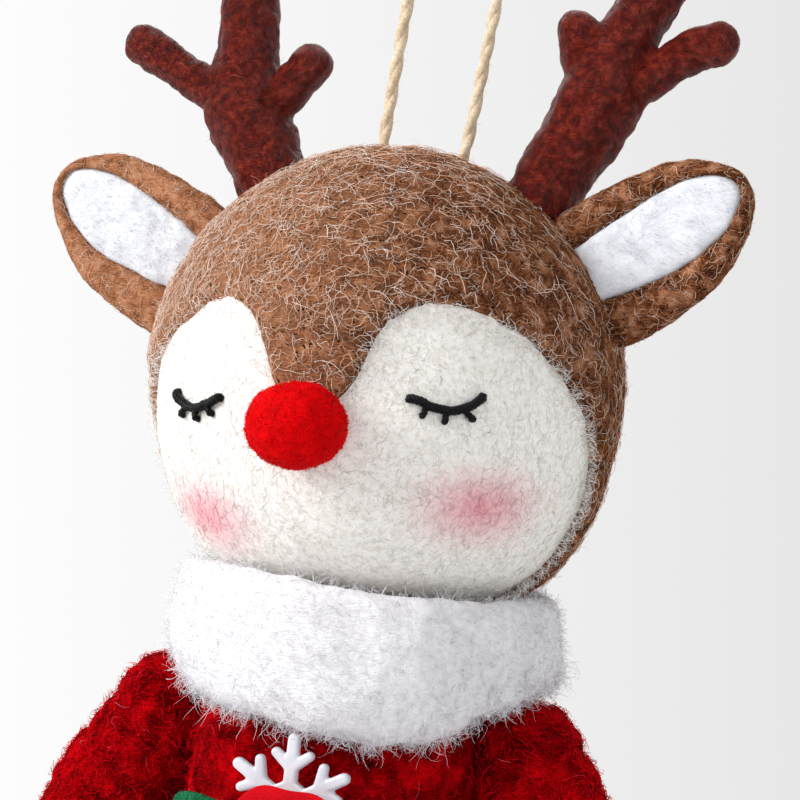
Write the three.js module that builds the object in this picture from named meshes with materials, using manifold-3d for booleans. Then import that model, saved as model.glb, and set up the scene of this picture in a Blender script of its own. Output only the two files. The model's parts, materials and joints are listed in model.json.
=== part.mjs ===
// A felted reindeer ornament that hangs on a loop of twine.
//
// Millimetres, +Z up. The reindeer faces -Y and its own left is +X. Places are given from the centre
// of the head, and at the end the whole ornament is moved so that its origin is the underside of the
// loop's arch, where a hook or a twig holds it. Head, face, ears and antlers are made in the head's
// own frame, which tips back a little on the neck.

import * as THREE from "three";
import { mergeVertices } from "three/addons/utils/BufferGeometryUtils.js";
import Module from "manifold-3d";

const wasm = await Module();
wasm.setup();

// Clearances shared by all pieces
const gap = 0.3; // touching pieces keep this much between them
const layerGap = 0.6; // the same for layers that curve round each other
const armGap = 0.9; // round an arm that turns
const overrun = 3; // how far a cutting shape reaches past what it cuts
const weld = 0.001; // points closer than this are one

// Head
const headRadius = 29; // over the hood, measured across the ears
const headTiltDeg = 6; // the nose points up this much
const headLeanDeg = 4.5; // the crown leans towards the reindeer's right
const faceTurnDeg = -0.6; // the peak, eyes and nose sit this far round from the middle
const hoodThickness = 2.9;
const faceRecess = 1.3; // the face lies this much below the hood
const noseWidth = 12.8;
const noseHeight = 11.2;
const noseDepth = 10.6;
const noseSink = 1.7; // how far the nose is pressed into the face
const eyeThread = 1.1; // diameter of the thread that the eyes are sewn in

// Ears
const earLength = 21;
const earHalfWidth = 9.1;
const earThickness = 4.2;
const earLiningDepth = 1.7; // recess that holds the white lining
const earLiningRise = 0.7; // the lining lies this much above the ear's middle
const earRiseDeg = 28;

// Antlers
const antlerLength = 34; // from the head's surface to the top of the beam
const beamRadius = 4;
const wireDiameter = 1.6;
const wireAnchor = 10; // how far the wire runs down into the head

// Hanging loop
const twineDiameter = 1.6;
const knotDiameter = 5.4;

// Neck, collar and body
const dowelDiameter = 5;
const dowelInHead = 14;
const dowelInBody = 18;
const neckRadius = 9;
const collarRadius = 24.2;
const collarHeight = 16.5;
const collarTop = -24.3; // height of its upper rim
const shoulderHeight = -36.5; // where the coat closes round the neck
const bodyHeight = 48; // from the coat's neck to its underside
const bodyHalfWidth = 20.6;
const bodyHalfDepth = 20.4;
const coatThickness = 2;

// Arms
const armThread = 1.2; // diameter of the thread that both arms turn on
const armThreadInSleeve = 4;
const shoulderGap = 1.2; // between the body and a shoulder
const shoulderDrop = 7.5; // the arms' axis lies this far below the coat's neck
const sleeveRadius = 8.3;
const sleeveLength = 27;
const sleeveOutDeg = 25; // the arms stand away from the body
const sleeveForwardDeg = 7;
const armBackDeg = 30; // how far the arms turn
const armForwardDeg = 60;
const handRadius = 6.4;
const handReach = 6; // how far the hand shows below the cuff
const cuffDepth = 7; // how far the hand goes up into the sleeve

// Legs
const legThread = 1.2;
const legThreadLength = 3.4; // what shows between the body and the leg
const legThreadInLeg = 5;
const legRadius = 5.6;
const legLength = 19;
const legSpread = 8; // each leg's axis from the middle
const hoofRadius = 6;
const hoofHeight = 7;

// Brooch on the chest
const flakeArm = 8.3; // from the snowflake's centre to an arm's tip
const flakeBar = 1.5; // width of its arms
const flakeThickness = 1.4;
const broochDrop = 13.5; // the snowflake's centre below the coat's neck
const rosetteRadius = 8.4;
const rosetteDepth = 4.2;
const flakeAside = 0.9; // the snowflake sits this far to the left
const rosetteAside = 3.1; // the rosette sits this far to the left
const rosetteDrop = 5.8; // the rosette's centre below the snowflake's
const leafLength = 14;
const leafWidth = 6.4;
const leafThickness = 1;
const leafTiltDeg = 7; // its outer end is raised
const leafBend = 34; // radius that it is bent to, flatter than the chest

// Fineness of the round shapes
const headSides = 28;
const headRings = 12;
const bodySides = 24;
const limbSides = 12;
const noseSides = 14;
const antlerSides = 8;
const threadSides = 6;
const wireSteps = 14;
const capSteps = 3;
const twineSides = 8;
const twineSteps = 42;
const rosetteSides = 24;
const rosetteRings = 7;
const poleShare = 1 / 3; // a round end's flat middle, as a share of one ring's step

// Head's outline: how high the crown and how low the chin reach, as shares of the head's radius,
// and the power of the curve between them and the widest place. A higher power is fuller.
const crownShare = 0.98;
const chinShare = 1.03;
const crownPower = 1.9;
const chinPower = 2.6;
const headDepthShare = 0.97;

// Edge between face and hood: azimuth from the nose in degrees, and height as a share of the radius
const faceEdgeShares = [
  [0, -0.26], [6, -0.2], [10, -0.12], [13, 0.02], [17, 0.14], [24, 0.215], [34, 0.23], [48, 0.18],
  [62, 0.08], [75, -0.08], [85, -0.26], [91, -0.45], [97, -0.66], [104, -0.9],
];
const faceInnerShare = 0.34; // under the chin the face starts this far from the axis

// Eyes: azimuth in degrees and height as a share of the radius, for the lid and for each lash
const lidShares = [[25, -0.165], [29, -0.195], [33.6, -0.212], [38.4, -0.195], [42.4, -0.145]];
const lashShares = [
  [[28.6, -0.2], [28, -0.255]],
  [[33.6, -0.22], [33.6, -0.28]],
  [[38, -0.205], [40.6, -0.25]],
];
const noseHeightShare = -0.32;

// Ear outline: along the ear and across it, as shares of its length and half width
const earOutlineShares = [
  [-0.42, 0.8], [0, 0.97], [0.19, 1], [0.53, 0.97], [0.8, 0.79], [0.97, 0.45], [1, 0.13],
  [0.94, -0.2], [0.795, -0.53], [0.545, -0.85], [0.28, -0.97], [0, -1], [-0.42, -0.8],
];
const earRootShares = [0.92, 0, 0.445]; // where the ear's axis leaves the head
const earLiningShares = [0.95, 0.67]; // the lining's size, along and across
const earBevelShare = 0.3; // rounding of the ear's edge, of its thickness

// Antlers: place along X, Y and Z from the root as shares of the antler's length, and radius as a
// share of the beam's. The two were felted by hand and differ.
const antlerRootShares = [0.57, 0.069, 0.765];
const antlerLeftShares = {
  beam: [
    [-0.09, -0.02, -0.16, 1.05], [0, 0, 0.03, 1.08], [0.07, 0.015, 0.165, 1.13],
    [0.135, 0.024, 0.274, 1.22], [0.19, 0.03, 0.394, 1.28], [0.23, 0.04, 0.506, 1.1],
    [0.262, 0.053, 0.6, 0.94], [0.34, 0.068, 0.75, 0.9], [0.41, 0.082, 0.882, 0.84],
  ],
  outer: [
    [0.24, 0.03, 0.4, 0.75], [0.345, 0.03, 0.455, 0.68], [0.43, 0.03, 0.505, 0.62],
    [0.53, 0.03, 0.56, 0.64], [0.6, 0.03, 0.58, 0.66],
  ],
  inner: [
    [0.18, 0.03, 0.4, 0.78], [0.14, 0.03, 0.46, 0.72], [0.11, 0.03, 0.538, 0.68],
    [0.088, 0.03, 0.625, 0.68],
  ],
};
const antlerRightShares = {
  beam: [
    [-0.09, -0.02, -0.16, 1.05], [0.02, 0, 0.04, 1.1], [0.09, 0.015, 0.19, 1.22],
    [0.16, 0.03, 0.33, 1.34], [0.18, 0.041, 0.46, 1.12], [0.18, 0.053, 0.588, 0.94],
    [0.19, 0.068, 0.75, 0.89], [0.21, 0.082, 0.897, 0.84],
  ],
  outer: [
    [0.18, 0.03, 0.36, 0.8], [0.29, 0.03, 0.405, 0.66], [0.385, 0.03, 0.455, 0.58],
    [0.475, 0.03, 0.515, 0.6], [0.58, 0.03, 0.575, 0.66],
  ],
  inner: [
    [0.12, 0.03, 0.34, 0.78], [0.03, 0.03, 0.385, 0.68], [-0.03, 0.03, 0.44, 0.64],
    [-0.08, 0.03, 0.51, 0.64],
  ],
};
const wireTopShare = 0.75; // the wire ends this high in the beam

// Route of the twine, chosen by hand, from the knot up one side, over the arch and down the other
const twineRoute = [
  [-1.5, 5.4, 18.2], [-3.2, 5.8, 21.6], [-4.8, 6.2, 25], [-5.5, 6.5, 28.4], [-5.4, 6.9, 33],
  [-5.2, 7.3, 38], [-5, 7.7, 43], [-4.7, 8, 48], [-4.5, 8.3, 53], [-4.2, 8.6, 58],
  [-3.9, 8.9, 63], [-3.3, 9.2, 67.4], [-1.7, 9.5, 71.2], [0.4, 9.7, 73.6], [2.4, 9.8, 74.4],
  [4.6, 9.7, 73.8], [6.8, 9.5, 71.6], [8.1, 9.2, 67.8], [7.9, 8.9, 63], [7.6, 8.6, 58],
  [7.2, 8.3, 53], [6.8, 8, 48], [6.4, 7.7, 43], [6, 7.3, 38], [5.6, 6.9, 33],
  [5, 6.5, 28], [3.8, 6.2, 24.6], [2.2, 5.8, 21.2], [1, 5.4, 18.2],
];
const archTop = new THREE.Vector3(2.4, 9.8, 74.4);

// Collar: radius and height of its outline, as shares of its radius and height from the upper rim
const collarShares = [
  [0.88, 0], [0.95, -0.08], [0.985, -0.25], [1, -0.5], [0.985, -0.75], [0.95, -0.92], [0.86, -1],
];

// Body: height below the coat's neck as a share of its height, half width and half depth as shares
const bodyShares = [
  [0, 0.47, 0.5], [0.07, 0.64, 0.69], [0.16, 0.735, 0.8], [0.28, 0.82, 0.885], [0.42, 0.9, 0.94],
  [0.58, 0.965, 0.985], [0.74, 1, 1], [0.86, 0.97, 0.965], [0.95, 0.85, 0.84], [1, 0.68, 0.66],
];

// Sleeve: distance along it as a share of its length, and radius as a share of its own
const sleeveShares = [[0, 0.85], [0.12, 0.9], [0.35, 0.98], [0.65, 1], [0.9, 0.96], [1, 0.9]];
const legShares = [[0, 0.84], [0.25, 0.92], [0.6, 1], [1, 0.96]];
const hoofShares = [[0, 0.97], [0.35, 1], [0.75, 0.94], [1, 0.72]];

// Snowflake: where each pair of side branches leaves an arm and its length, of the arm's length
const branchShares = [[0.5, 0.34]];
const branchAngleDeg = 52;

// Leaf: along and across, as shares of its length and half width
const leafShares = [
  [0, 0.6], [0.16, 0.86], [0.36, 0.97], [0.6, 1], [0.84, 0.96], [0.96, 0.74], [1, 0], [0.96, -0.74],
  [0.84, -0.96], [0.6, -1], [0.36, -0.97], [0.16, -0.86], [0, -0.6],
];
const leafStartShare = 0.12; // where the leaf starts, as a share of its own length from the middle

const rosettePleats = 6;
const pleatShare = 0.05; // depth of the pleats, of the rosette's radius

// Sizes that follow from the ones above
const faceRadius = headRadius - faceRecess;
const shellInside = headRadius - hoodThickness;
const coreRadius = shellInside - gap;
const armAxisZ = shoulderHeight - shoulderDrop;
const bodyBottom = shoulderHeight - bodyHeight;
const shoulderRadius = sleeveRadius * sleeveShares[0][1];
const headTilt = new THREE.Matrix4().makeRotationY(THREE.MathUtils.degToRad(-headLeanDeg));
headTilt.multiply(new THREE.Matrix4().makeRotationX(THREE.MathUtils.degToRad(-headTiltDeg)));
const headUntilt = headTilt.clone().invert();

const finishes = {
  hood: { color: 0x9a6438, roughness: 0.95 },
  face: { color: 0xefebe2, roughness: 0.95 },
  nose: { color: 0xd80a14, roughness: 0.9 },
  stitch: { color: 0x141014, roughness: 0.7 },
  lining: { color: 0xf2f2f4, roughness: 0.95 },
  antler: { color: 0x6b2320, roughness: 0.75 },
  twine: { color: 0xd8c09a, roughness: 0.9 },
  fur: { color: 0xf3f1f2, roughness: 0.95 },
  coat: { color: 0xc20a1c, roughness: 0.95 },
  flake: { color: 0xf4f4f6, roughness: 0.35 },
  rosette: { color: 0xc41422, roughness: 0.8 },
  leaf: { color: 0x2a7040, roughness: 0.9 },
  hoof: { color: 0x4a2a1c, roughness: 0.95 },
  stuffing: { color: 0xe6e0d4, roughness: 0.95 },
  wood: { color: 0xc79c62, roughness: 0.7 },
  wire: { color: 0x8c8f94, roughness: 0.4, metalness: 0.9 },
  thread: { color: 0x8a1420, roughness: 0.8 },
};

/** A solid that can be cut and joined, from a closed geometry. */
function solid(geometry) {
  const bare = geometry.index ? geometry.toNonIndexed() : geometry.clone();
  bare.deleteAttribute("normal");
  bare.deleteAttribute("uv");
  const merged = mergeVertices(bare, weld);
  return new wasm.Manifold(new wasm.Mesh({
    numProp: 3,
    vertProperties: merged.attributes.position.array,
    triVerts: Uint32Array.from(merged.index.array),
  }));
}

/** A named mesh from a finished solid. */
function piece(name, finish, body) {
  const made = body.getMesh();
  const geometry = new THREE.BufferGeometry();
  geometry.setAttribute("position", new THREE.BufferAttribute(Float32Array.from(made.vertProperties), 3));
  geometry.setIndex(new THREE.BufferAttribute(Uint32Array.from(made.triVerts), 1));
  geometry.computeVertexNormals();
  const mesh = new THREE.Mesh(geometry, new THREE.MeshStandardMaterial(finishes[finish]));
  mesh.name = name;
  return mesh;
}

/** A closed loft over rings, each given by its centre and two half axes u and v. */
function loft(rings, sides) {
  const places = [];
  for (const { centre, u, v } of rings) {
    for (let side = 0; side < sides; side += 1) {
      const turn = (2 * Math.PI * side) / sides;
      const point = centre.clone().addScaledVector(u, Math.cos(turn)).addScaledVector(v, Math.sin(turn));
      places.push(point.x, point.y, point.z);
    }
  }
  const index = [];
  for (let ring = 0; ring < rings.length - 1; ring += 1) {
    for (let side = 0; side < sides; side += 1) {
      const a = ring * sides + side;
      const b = ring * sides + ((side + 1) % sides);
      index.push(a, b, b + sides, a, b + sides, a + sides);
    }
  }
  const first = rings.length * sides;
  const last = (rings.length - 1) * sides;
  places.push(...rings[0].centre.toArray(), ...rings.at(-1).centre.toArray());
  for (let side = 0; side < sides; side += 1) {
    const next = (side + 1) % sides;
    index.push(first, next, side, first + 1, last + side, last + next);
  }
  const geometry = new THREE.BufferGeometry();
  geometry.setAttribute("position", new THREE.Float32BufferAttribute(places, 3));
  geometry.setIndex(index);
  return geometry;
}

/** Level rings of an upright form, from rows of height, half width and half depth, lowest first. */
function levelRings(rows) {
  return rows.map(([height, halfWidth, halfDepth]) => ({
    centre: new THREE.Vector3(0, 0, height),
    u: new THREE.Vector3(halfWidth, 0, 0),
    v: new THREE.Vector3(0, halfDepth, 0),
  }));
}

/** Rings square to a limb, from rows of centre and radius, with round ends where they are asked for. */
function limbRings(rows, roundStart = true, roundEnd = true) {
  const stations = rows.map(({ centre, radius }, index) => {
    const before = rows[Math.max(index - 1, 0)].centre;
    const after = rows[Math.min(index + 1, rows.length - 1)].centre;
    return { centre, radius, along: after.clone().sub(before).normalize() };
  });
  const cap = (station, sign) => {
    const rings = [];
    for (let step = 1; step <= capSteps; step += 1) {
      const turn = (Math.PI / 2) * (step / (capSteps + poleShare));
      const reach = sign * station.radius * Math.sin(turn);
      rings.push({
        centre: station.centre.clone().addScaledVector(station.along, reach),
        radius: station.radius * Math.cos(turn),
        along: station.along,
      });
    }
    return rings;
  };
  const all = [
    ...(roundStart ? cap(stations[0], -1).reverse() : []),
    ...stations,
    ...(roundEnd ? cap(stations.at(-1), 1) : []),
  ];
  return all.map(({ centre, radius, along }) => {
    const u = new THREE.Vector3(0, 1, 0).addScaledVector(along, -along.y).normalize();
    const v = along.clone().cross(u);
    return { centre, u: u.multiplyScalar(radius), v: v.multiplyScalar(radius) };
  });
}

/** A closed round tube along a smooth route. */
function tube(points, radius, sides, steps) {
  const section = new THREE.Shape();
  for (let side = 0; side < sides; side += 1) {
    const turn = (2 * Math.PI * side) / sides;
    const x = radius * Math.cos(turn);
    const y = radius * Math.sin(turn);
    if (side === 0) section.moveTo(x, y);
    else section.lineTo(x, y);
  }
  section.closePath();
  const route = new THREE.CatmullRomCurve3(points.map((point) => new THREE.Vector3(...point)));
  return new THREE.ExtrudeGeometry(section, { extrudePath: route, steps, bevelEnabled: false });
}

/** A closed cylinder between two heights on an upright axis at x, y. */
function post(radius, bottom, top, sides, x = 0, y = 0) {
  const geometry = new THREE.CylinderGeometry(radius, radius, top - bottom, sides);
  geometry.rotateX(Math.PI / 2);
  geometry.translate(x, y, (top + bottom) / 2);
  return geometry;
}

/** Width of the head at a height, both as shares of its radius. */
function headWidthShare(heightShare) {
  const reach = heightShare > 0 ? crownShare : chinShare;
  const power = heightShare > 0 ? crownPower : chinPower;
  return Math.max(1 - Math.abs(heightShare / reach) ** power, 0) ** (1 / power);
}

/** The head's form at a radius, in the head's own frame. */
function headBall(radius) {
  const rows = [];
  for (let ring = 0; ring <= headRings; ring += 1) {
    const turn = Math.PI * ((ring + poleShare) / (headRings + 2 * poleShare) - 1 / 2);
    const power = turn > 0 ? crownPower : chinPower;
    const reach = turn > 0 ? crownShare : chinShare;
    const width = radius * Math.cos(turn) ** (2 / power);
    const height = radius * reach * Math.sign(turn) * Math.abs(Math.sin(turn)) ** (2 / power);
    rows.push([height, width, width * headDepthShare]);
  }
  return loft(levelRings(rows), headSides);
}

/** A point on the head at a radius, from its azimuth off the nose and its height share. */
function onHead(radius, azimuthDeg, heightShare) {
  const turn = THREE.MathUtils.degToRad(azimuthDeg);
  const width = radius * headWidthShare(heightShare);
  return [width * Math.sin(turn), -width * headDepthShare * Math.cos(turn), radius * heightShare];
}

/** The space in front of the face's edge, grown outwards by a margin, which cuts face from hood. */
function faceSpace(margin) {
  const degrees = THREE.MathUtils.radToDeg(margin / faceRadius);
  const edge = new THREE.SplineCurve(faceEdgeShares.map((row) => new THREE.Vector2(...row)));
  const half = edge.getPoints(2 * faceEdgeShares.length).map(({ x, y }) => [x, y * headRadius + margin]);
  half.push([half.at(-1)[0] + degrees, half.at(-1)[1]]);
  const line = [...half.slice(1).reverse().map(([azimuth, height]) => [-azimuth, height]), ...half];
  const widest = half.at(-1)[0];
  const near = headRadius * faceInnerShare - margin;
  const far = headRadius + overrun;
  const floor = -headRadius * chinShare - overrun;
  const places = [];
  for (const [azimuth, height] of line) {
    const shift = faceTurnDeg * (1 - Math.abs(azimuth) / widest);
    const turn = THREE.MathUtils.degToRad(azimuth + shift);
    for (const [reach, level] of [[near, floor], [far, floor], [far, height], [near, height]]) {
      places.push(reach * Math.sin(turn), -reach * Math.cos(turn), level);
    }
  }
  const index = [0, 1, 2, 0, 2, 3];
  for (let step = 0; step < line.length - 1; step += 1) {
    for (let corner = 0; corner < 4; corner += 1) {
      const a = step * 4 + corner;
      const b = step * 4 + ((corner + 1) % 4);
      index.push(a, a + 4, b + 4, a, b + 4, b);
    }
  }
  const end = (line.length - 1) * 4;
  index.push(end, end + 2, end + 1, end, end + 3, end + 2);
  const geometry = new THREE.BufferGeometry();
  geometry.setAttribute("position", new THREE.Float32BufferAttribute(places, 3));
  geometry.setIndex(index);
  return solid(geometry);
}

/** A geometry moved from the ornament's frame into the head's. */
function intoHead(geometry) {
  return geometry.clone().applyMatrix4(headUntilt);
}

/** Rows of the body at an inset from the coat's surface, lowest first. */
function bodyRows(inset) {
  const height = bodyHeight - 2 * inset;
  return bodyShares.map(([drop, width, depth]) => [
    shoulderHeight - inset - drop * height,
    bodyHalfWidth * width - inset,
    bodyHalfDepth * depth - inset,
  ]).reverse();
}

/** Half width and half depth of the coat at a height, read between its rows. */
function bodyHalfAt(height) {
  const rows = bodyRows(0);
  const above = rows.findIndex((row) => row[0] >= height);
  const upper = rows[above];
  const lower = rows[above - 1];
  const share = (height - lower[0]) / (upper[0] - lower[0]);
  return [1, 2].map((axis) => lower[axis] + share * (upper[axis] - lower[axis]));
}

/** A flat outline from points given as shares of two sizes. */
function outline(shares, alongSize, acrossSize) {
  return new THREE.Shape(shares.map(([along, across]) => (
    new THREE.Vector2(along * alongSize, across * acrossSize)
  )));
}

const shoulderX = bodyHalfAt(armAxisZ)[0] + shoulderGap + shoulderRadius;

/** Where an arm's rows lie, from a shoulder on one side, with radii grown by a margin. */
function armRows(side, shares, length, radius, start, margin) {
  const out = THREE.MathUtils.degToRad(sleeveOutDeg);
  const forward = THREE.MathUtils.degToRad(sleeveForwardDeg);
  const along = new THREE.Vector3(
    side * Math.sin(out), -Math.cos(out) * Math.sin(forward), -Math.cos(out) * Math.cos(forward),
  );
  const shoulder = new THREE.Vector3(side * shoulderX, 0, armAxisZ);
  return shares.map(([share, size]) => ({
    centre: shoulder.clone().addScaledVector(along, start + share * length),
    radius: radius * size + margin,
  }));
}

/** An arm with a margin round it, turned about the arms' axis by an angle. */
function turnedArm(side, margin, degrees) {
  const rows = armRows(side, sleeveShares, sleeveLength, sleeveRadius, 0, margin);
  const geometry = loft(limbRings(rows), limbSides);
  geometry.translate(0, 0, -armAxisZ);
  geometry.rotateX(THREE.MathUtils.degToRad(degrees));
  geometry.translate(0, 0, armAxisZ);
  return solid(geometry);
}

/** What an arm passes through at rest and at its limits, with a clearance. */
function armSpace(side) {
  const turns = [armBackDeg, 0, -armForwardDeg];
  return turns.map((degrees) => turnedArm(side, armGap, degrees)).reduce((all, next) => all.add(next));
}

/** Points of a wire along an antler's beam, from inside the head to high in the beam. */
function wirePoints(shares, side) {
  const places = shares.beam.map((row) => antlerPlace(row, side).centre);
  const down = places[0].clone().sub(places[2]).normalize();
  const anchor = places[0].clone().addScaledVector(down, wireAnchor);
  const inside = places.filter((_, index) => shares.beam[index][2] <= wireTopShare);
  return [anchor, ...inside].map((place) => place.toArray());
}

/** Centre and radius of one row of an antler. */
function antlerPlace([x, y, z, size], side) {
  const [rootX, rootY, rootZ] = antlerRootShares;
  return {
    centre: new THREE.Vector3(
      side * (rootX * headRadius + x * antlerLength),
      rootY * headRadius + y * antlerLength,
      rootZ * headRadius + z * antlerLength,
    ),
    radius: size * beamRadius,
  };
}

/** The wire in an antler, with a margin round it. */
function wireSolid(shares, side, margin) {
  return solid(tube(wirePoints(shares, side), wireDiameter / 2 + margin, threadSides, wireSteps));
}

/** The knot's ball with a margin, in the ornament's frame. */
function knotBall(margin) {
  const radius = knotDiameter / 2 + margin;
  const [start, end] = [twineRoute[0], twineRoute.at(-1)];
  const geometry = new THREE.SphereGeometry(radius, limbSides, limbSides / 2);
  geometry.rotateX(Math.PI / 2);
  geometry.translate((start[0] + end[0]) / 2, (start[1] + end[1]) / 2, start[2] - gap - knotDiameter / 2);
  return geometry;
}

const dowelTop = -headRadius * chinShare + dowelInHead;
const dowelBottom = shoulderHeight - dowelInBody;
const antlers = { left: [antlerLeftShares, 1], right: [antlerRightShares, -1] };
const sides = { left: 1, right: -1 };

// Bores that several pieces share. The twine's runs on into the knot's hollow.
const boreEnds = [twineRoute[0], twineRoute.at(-1)].map(([x, y, z]) => [x, y, z - knotDiameter / 2]);
const boreRoute = [boreEnds[0], ...twineRoute, boreEnds[1]];
const twineBore = tube(boreRoute, twineDiameter / 2 + gap, twineSides, twineSteps);
const dowelBore = post(dowelDiameter / 2 + gap, dowelBottom - gap, dowelTop + gap, limbSides);

/** Core, face and hood: the layers of the head. */
function headLayers() {
  const cutters = [intoHead(twineBore), intoHead(dowelBore)].map(solid);
  cutters.push(...Object.values(antlers).map(([shares, side]) => wireSolid(shares, side, gap)));
  const shell = solid(headBall(headRadius)).subtract(solid(headBall(shellInside)));
  const faceShell = solid(headBall(faceRadius)).subtract(solid(headBall(shellInside)));
  let core = solid(headBall(coreRadius)).subtract(solid(intoHead(knotBall(gap))));
  let hood = shell.subtract(faceSpace(0));
  for (const cutter of cutters) {
    core = core.subtract(cutter);
    hood = hood.subtract(cutter);
  }
  const face = faceShell.intersect(faceSpace(-gap)).subtract(cutters[1]);
  return [
    piece("head_core", "stuffing", core),
    piece("face_felt", "face", face),
    piece("hood_felt", "hood", hood),
  ];
}

/** The pompom nose, hollowed at the back where it sits on the face and under the hood's peak. */
function nose() {
  const [x, surface, height] = onHead(faceRadius, faceTurnDeg, noseHeightShare);
  const geometry = new THREE.SphereGeometry(1, noseSides, noseSides / 2);
  geometry.rotateX(Math.PI / 2);
  geometry.scale(noseWidth / 2, noseDepth / 2, noseHeight / 2);
  geometry.translate(x, surface - noseDepth / 2 + noseSink, height);
  const peak = solid(headBall(headRadius + gap)).subtract(faceSpace(-gap));
  const pompom = solid(geometry).subtract(solid(headBall(faceRadius + gap)));
  return piece("nose_pompom", "nose", pompom.subtract(peak));
}

/** One closed eye: the lid's stitch and its lashes as one sewn piece. */
function eye(name, side) {
  const radius = faceRadius + gap + eyeThread / 2;
  const place = ([azimuth, share]) => onHead(radius, side * azimuth + faceTurnDeg, share);
  let stitches = solid(tube(lidShares.map(place), eyeThread / 2, threadSides, 2 * lidShares.length));
  for (const lash of lashShares) {
    stitches = stitches.add(solid(tube(lash.map(place), eyeThread / 2, threadSides, 2)));
  }
  return piece(name, "stitch", stitches);
}

/** Turns a flat shape, drawn along X and up Y, into the plane of one ear. */
function placeEar(geometry, side) {
  const rise = new THREE.Matrix4().makeRotationY(-side * THREE.MathUtils.degToRad(earRiseDeg));
  geometry.rotateX(Math.PI / 2);
  geometry.scale(side, 1, 1);
  geometry.applyMatrix4(rise);
  const [x, y, z] = earRootShares.map((share) => share * headRadius);
  geometry.translate(side * x, y, z);
  if (side < 0) flip(geometry);
  return geometry;
}

/** Turns a mirrored geometry's faces outwards again. */
function flip(geometry) {
  const places = geometry.attributes.position;
  const corner = new THREE.Vector3();
  const other = new THREE.Vector3();
  for (let start = 0; start < places.count; start += 3) {
    corner.fromBufferAttribute(places, start);
    other.fromBufferAttribute(places, start + 1);
    places.setXYZ(start, other.x, other.y, other.z);
    places.setXYZ(start + 1, corner.x, corner.y, corner.z);
  }
}

/** A felt ear with a recess, and the white lining that lies in it. */
function ear(sideName, side) {
  const bevel = earBevelShare * earThickness;
  const feltShape = outline(earOutlineShares, earLength - bevel, earHalfWidth - bevel);
  const felt = new THREE.ExtrudeGeometry(feltShape, {
    depth: earThickness - 2 * bevel,
    bevelSize: bevel,
    bevelThickness: bevel,
    bevelSegments: 2,
    curveSegments: 1,
  });
  felt.translate(0, 0, bevel - earThickness / 2);
  const front = earThickness / 2;
  const lining = (margin, depth) => {
    const [along, across] = earLiningShares;
    const shape = outline(earOutlineShares, earLength * along + margin, earHalfWidth * across + margin);
    const made = new THREE.ExtrudeGeometry(shape, { depth, bevelEnabled: false });
    made.translate(0, earLiningRise, front - earLiningDepth + (margin > 0 ? 0 : gap));
    return solid(placeEar(made, side));
  };
  const head = solid(headBall(headRadius + gap));
  const recess = lining(gap, earLiningDepth + overrun);
  const outer = solid(placeEar(felt, side)).subtract(recess).subtract(head);
  const inner = lining(0, earLiningDepth - gap).subtract(head);
  return [
    piece(`ear_outer_${sideName}`, "hood", outer),
    piece(`ear_inner_${sideName}`, "lining", inner),
  ];
}

/** A felted antler with its tines, and the wire that stiffens it. */
function antler(sideName, [shares, side]) {
  const head = solid(headBall(headRadius + gap));
  const limb = (rows) => solid(loft(limbRings(rows.map((row) => antlerPlace(row, side))), antlerSides));
  let felt = limb(shares.beam).add(limb(shares.outer)).add(limb(shares.inner));
  felt = felt.subtract(head).subtract(wireSolid(shares, side, gap));
  return [
    piece(`antler_${sideName}`, "antler", felt),
    piece(`antler_wire_${sideName}`, "wire", wireSolid(shares, side, 0)),
  ];
}

/** The twine's loop and the knot that holds its ends in the head. */
function hanger() {
  return [
    piece("hang_twine", "twine", solid(tube(twineRoute, twineDiameter / 2, twineSides, twineSteps))),
    piece("twine_knot", "twine", solid(knotBall(0))),
  ];
}

/** The body's stuffing with its neck, the coat round it, and the peg that carries the head, which the
 * arms' thread passes through. */
function bodyPieces() {
  const head = solid(headBall(headRadius + gap).applyMatrix4(headTilt));
  const bore = solid(dowelBore);
  const armBore = solid(threadAcross(armThread / 2 + gap, shoulderX));
  const neckTop = -headRadius * chinShare + overrun;
  const neck = (margin) => solid(post(neckRadius + margin, shoulderHeight - overrun, neckTop, limbSides));
  const stuffing = solid(loft(levelRings(bodyRows(coatThickness + gap)), bodySides));
  const core = stuffing.add(neck(0)).subtract(head).subtract(bore).subtract(armBore);
  const outside = solid(loft(levelRings(bodyRows(0)), bodySides));
  const inside = solid(loft(levelRings(bodyRows(coatThickness)), bodySides));
  const coat = outside.subtract(inside).subtract(neck(gap)).subtract(armBore);
  const peg = solid(post(dowelDiameter / 2, dowelBottom, dowelTop, limbSides));
  return [
    piece("torso_core", "stuffing", core),
    piece("coat_body", "coat", coat),
    piece("neck_dowel", "wood", peg.subtract(armBore)),
  ];
}

/** A thread or a bore along X, through both shoulders. */
function threadAcross(radius, halfLength) {
  const geometry = new THREE.CylinderGeometry(radius, radius, 2 * halfLength, threadSides);
  geometry.rotateZ(Math.PI / 2);
  geometry.translate(0, 0, armAxisZ);
  return geometry;
}

/** The fur band, fitted under the head, over the coat and clear of the arms. */
function collar() {
  const outside = collarShares.map(([reach, drop]) => (
    new THREE.Vector2(reach * collarRadius, collarTop + drop * collarHeight)
  ));
  const rim = outside.at(-1).y;
  const seat = Math.max(...bodyHalfAt(rim)) + layerGap;
  const hole = neckRadius + gap;
  const seatTop = shoulderHeight + gap;
  const inside = [[seat, rim], [seat, seatTop], [hole, seatTop], [hole, collarTop]];
  const profile = [...inside.map(([reach, height]) => new THREE.Vector2(reach, height)), ...outside];
  const ring = new THREE.LatheGeometry([...profile, profile[0]].reverse(), bodySides);
  ring.rotateX(Math.PI / 2);
  let fur = solid(ring).subtract(solid(headBall(headRadius + gap).applyMatrix4(headTilt)));
  for (const side of Object.values(sides)) fur = fur.subtract(armSpace(side));
  return piece("fur_collar", "fur", fur);
}

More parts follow.
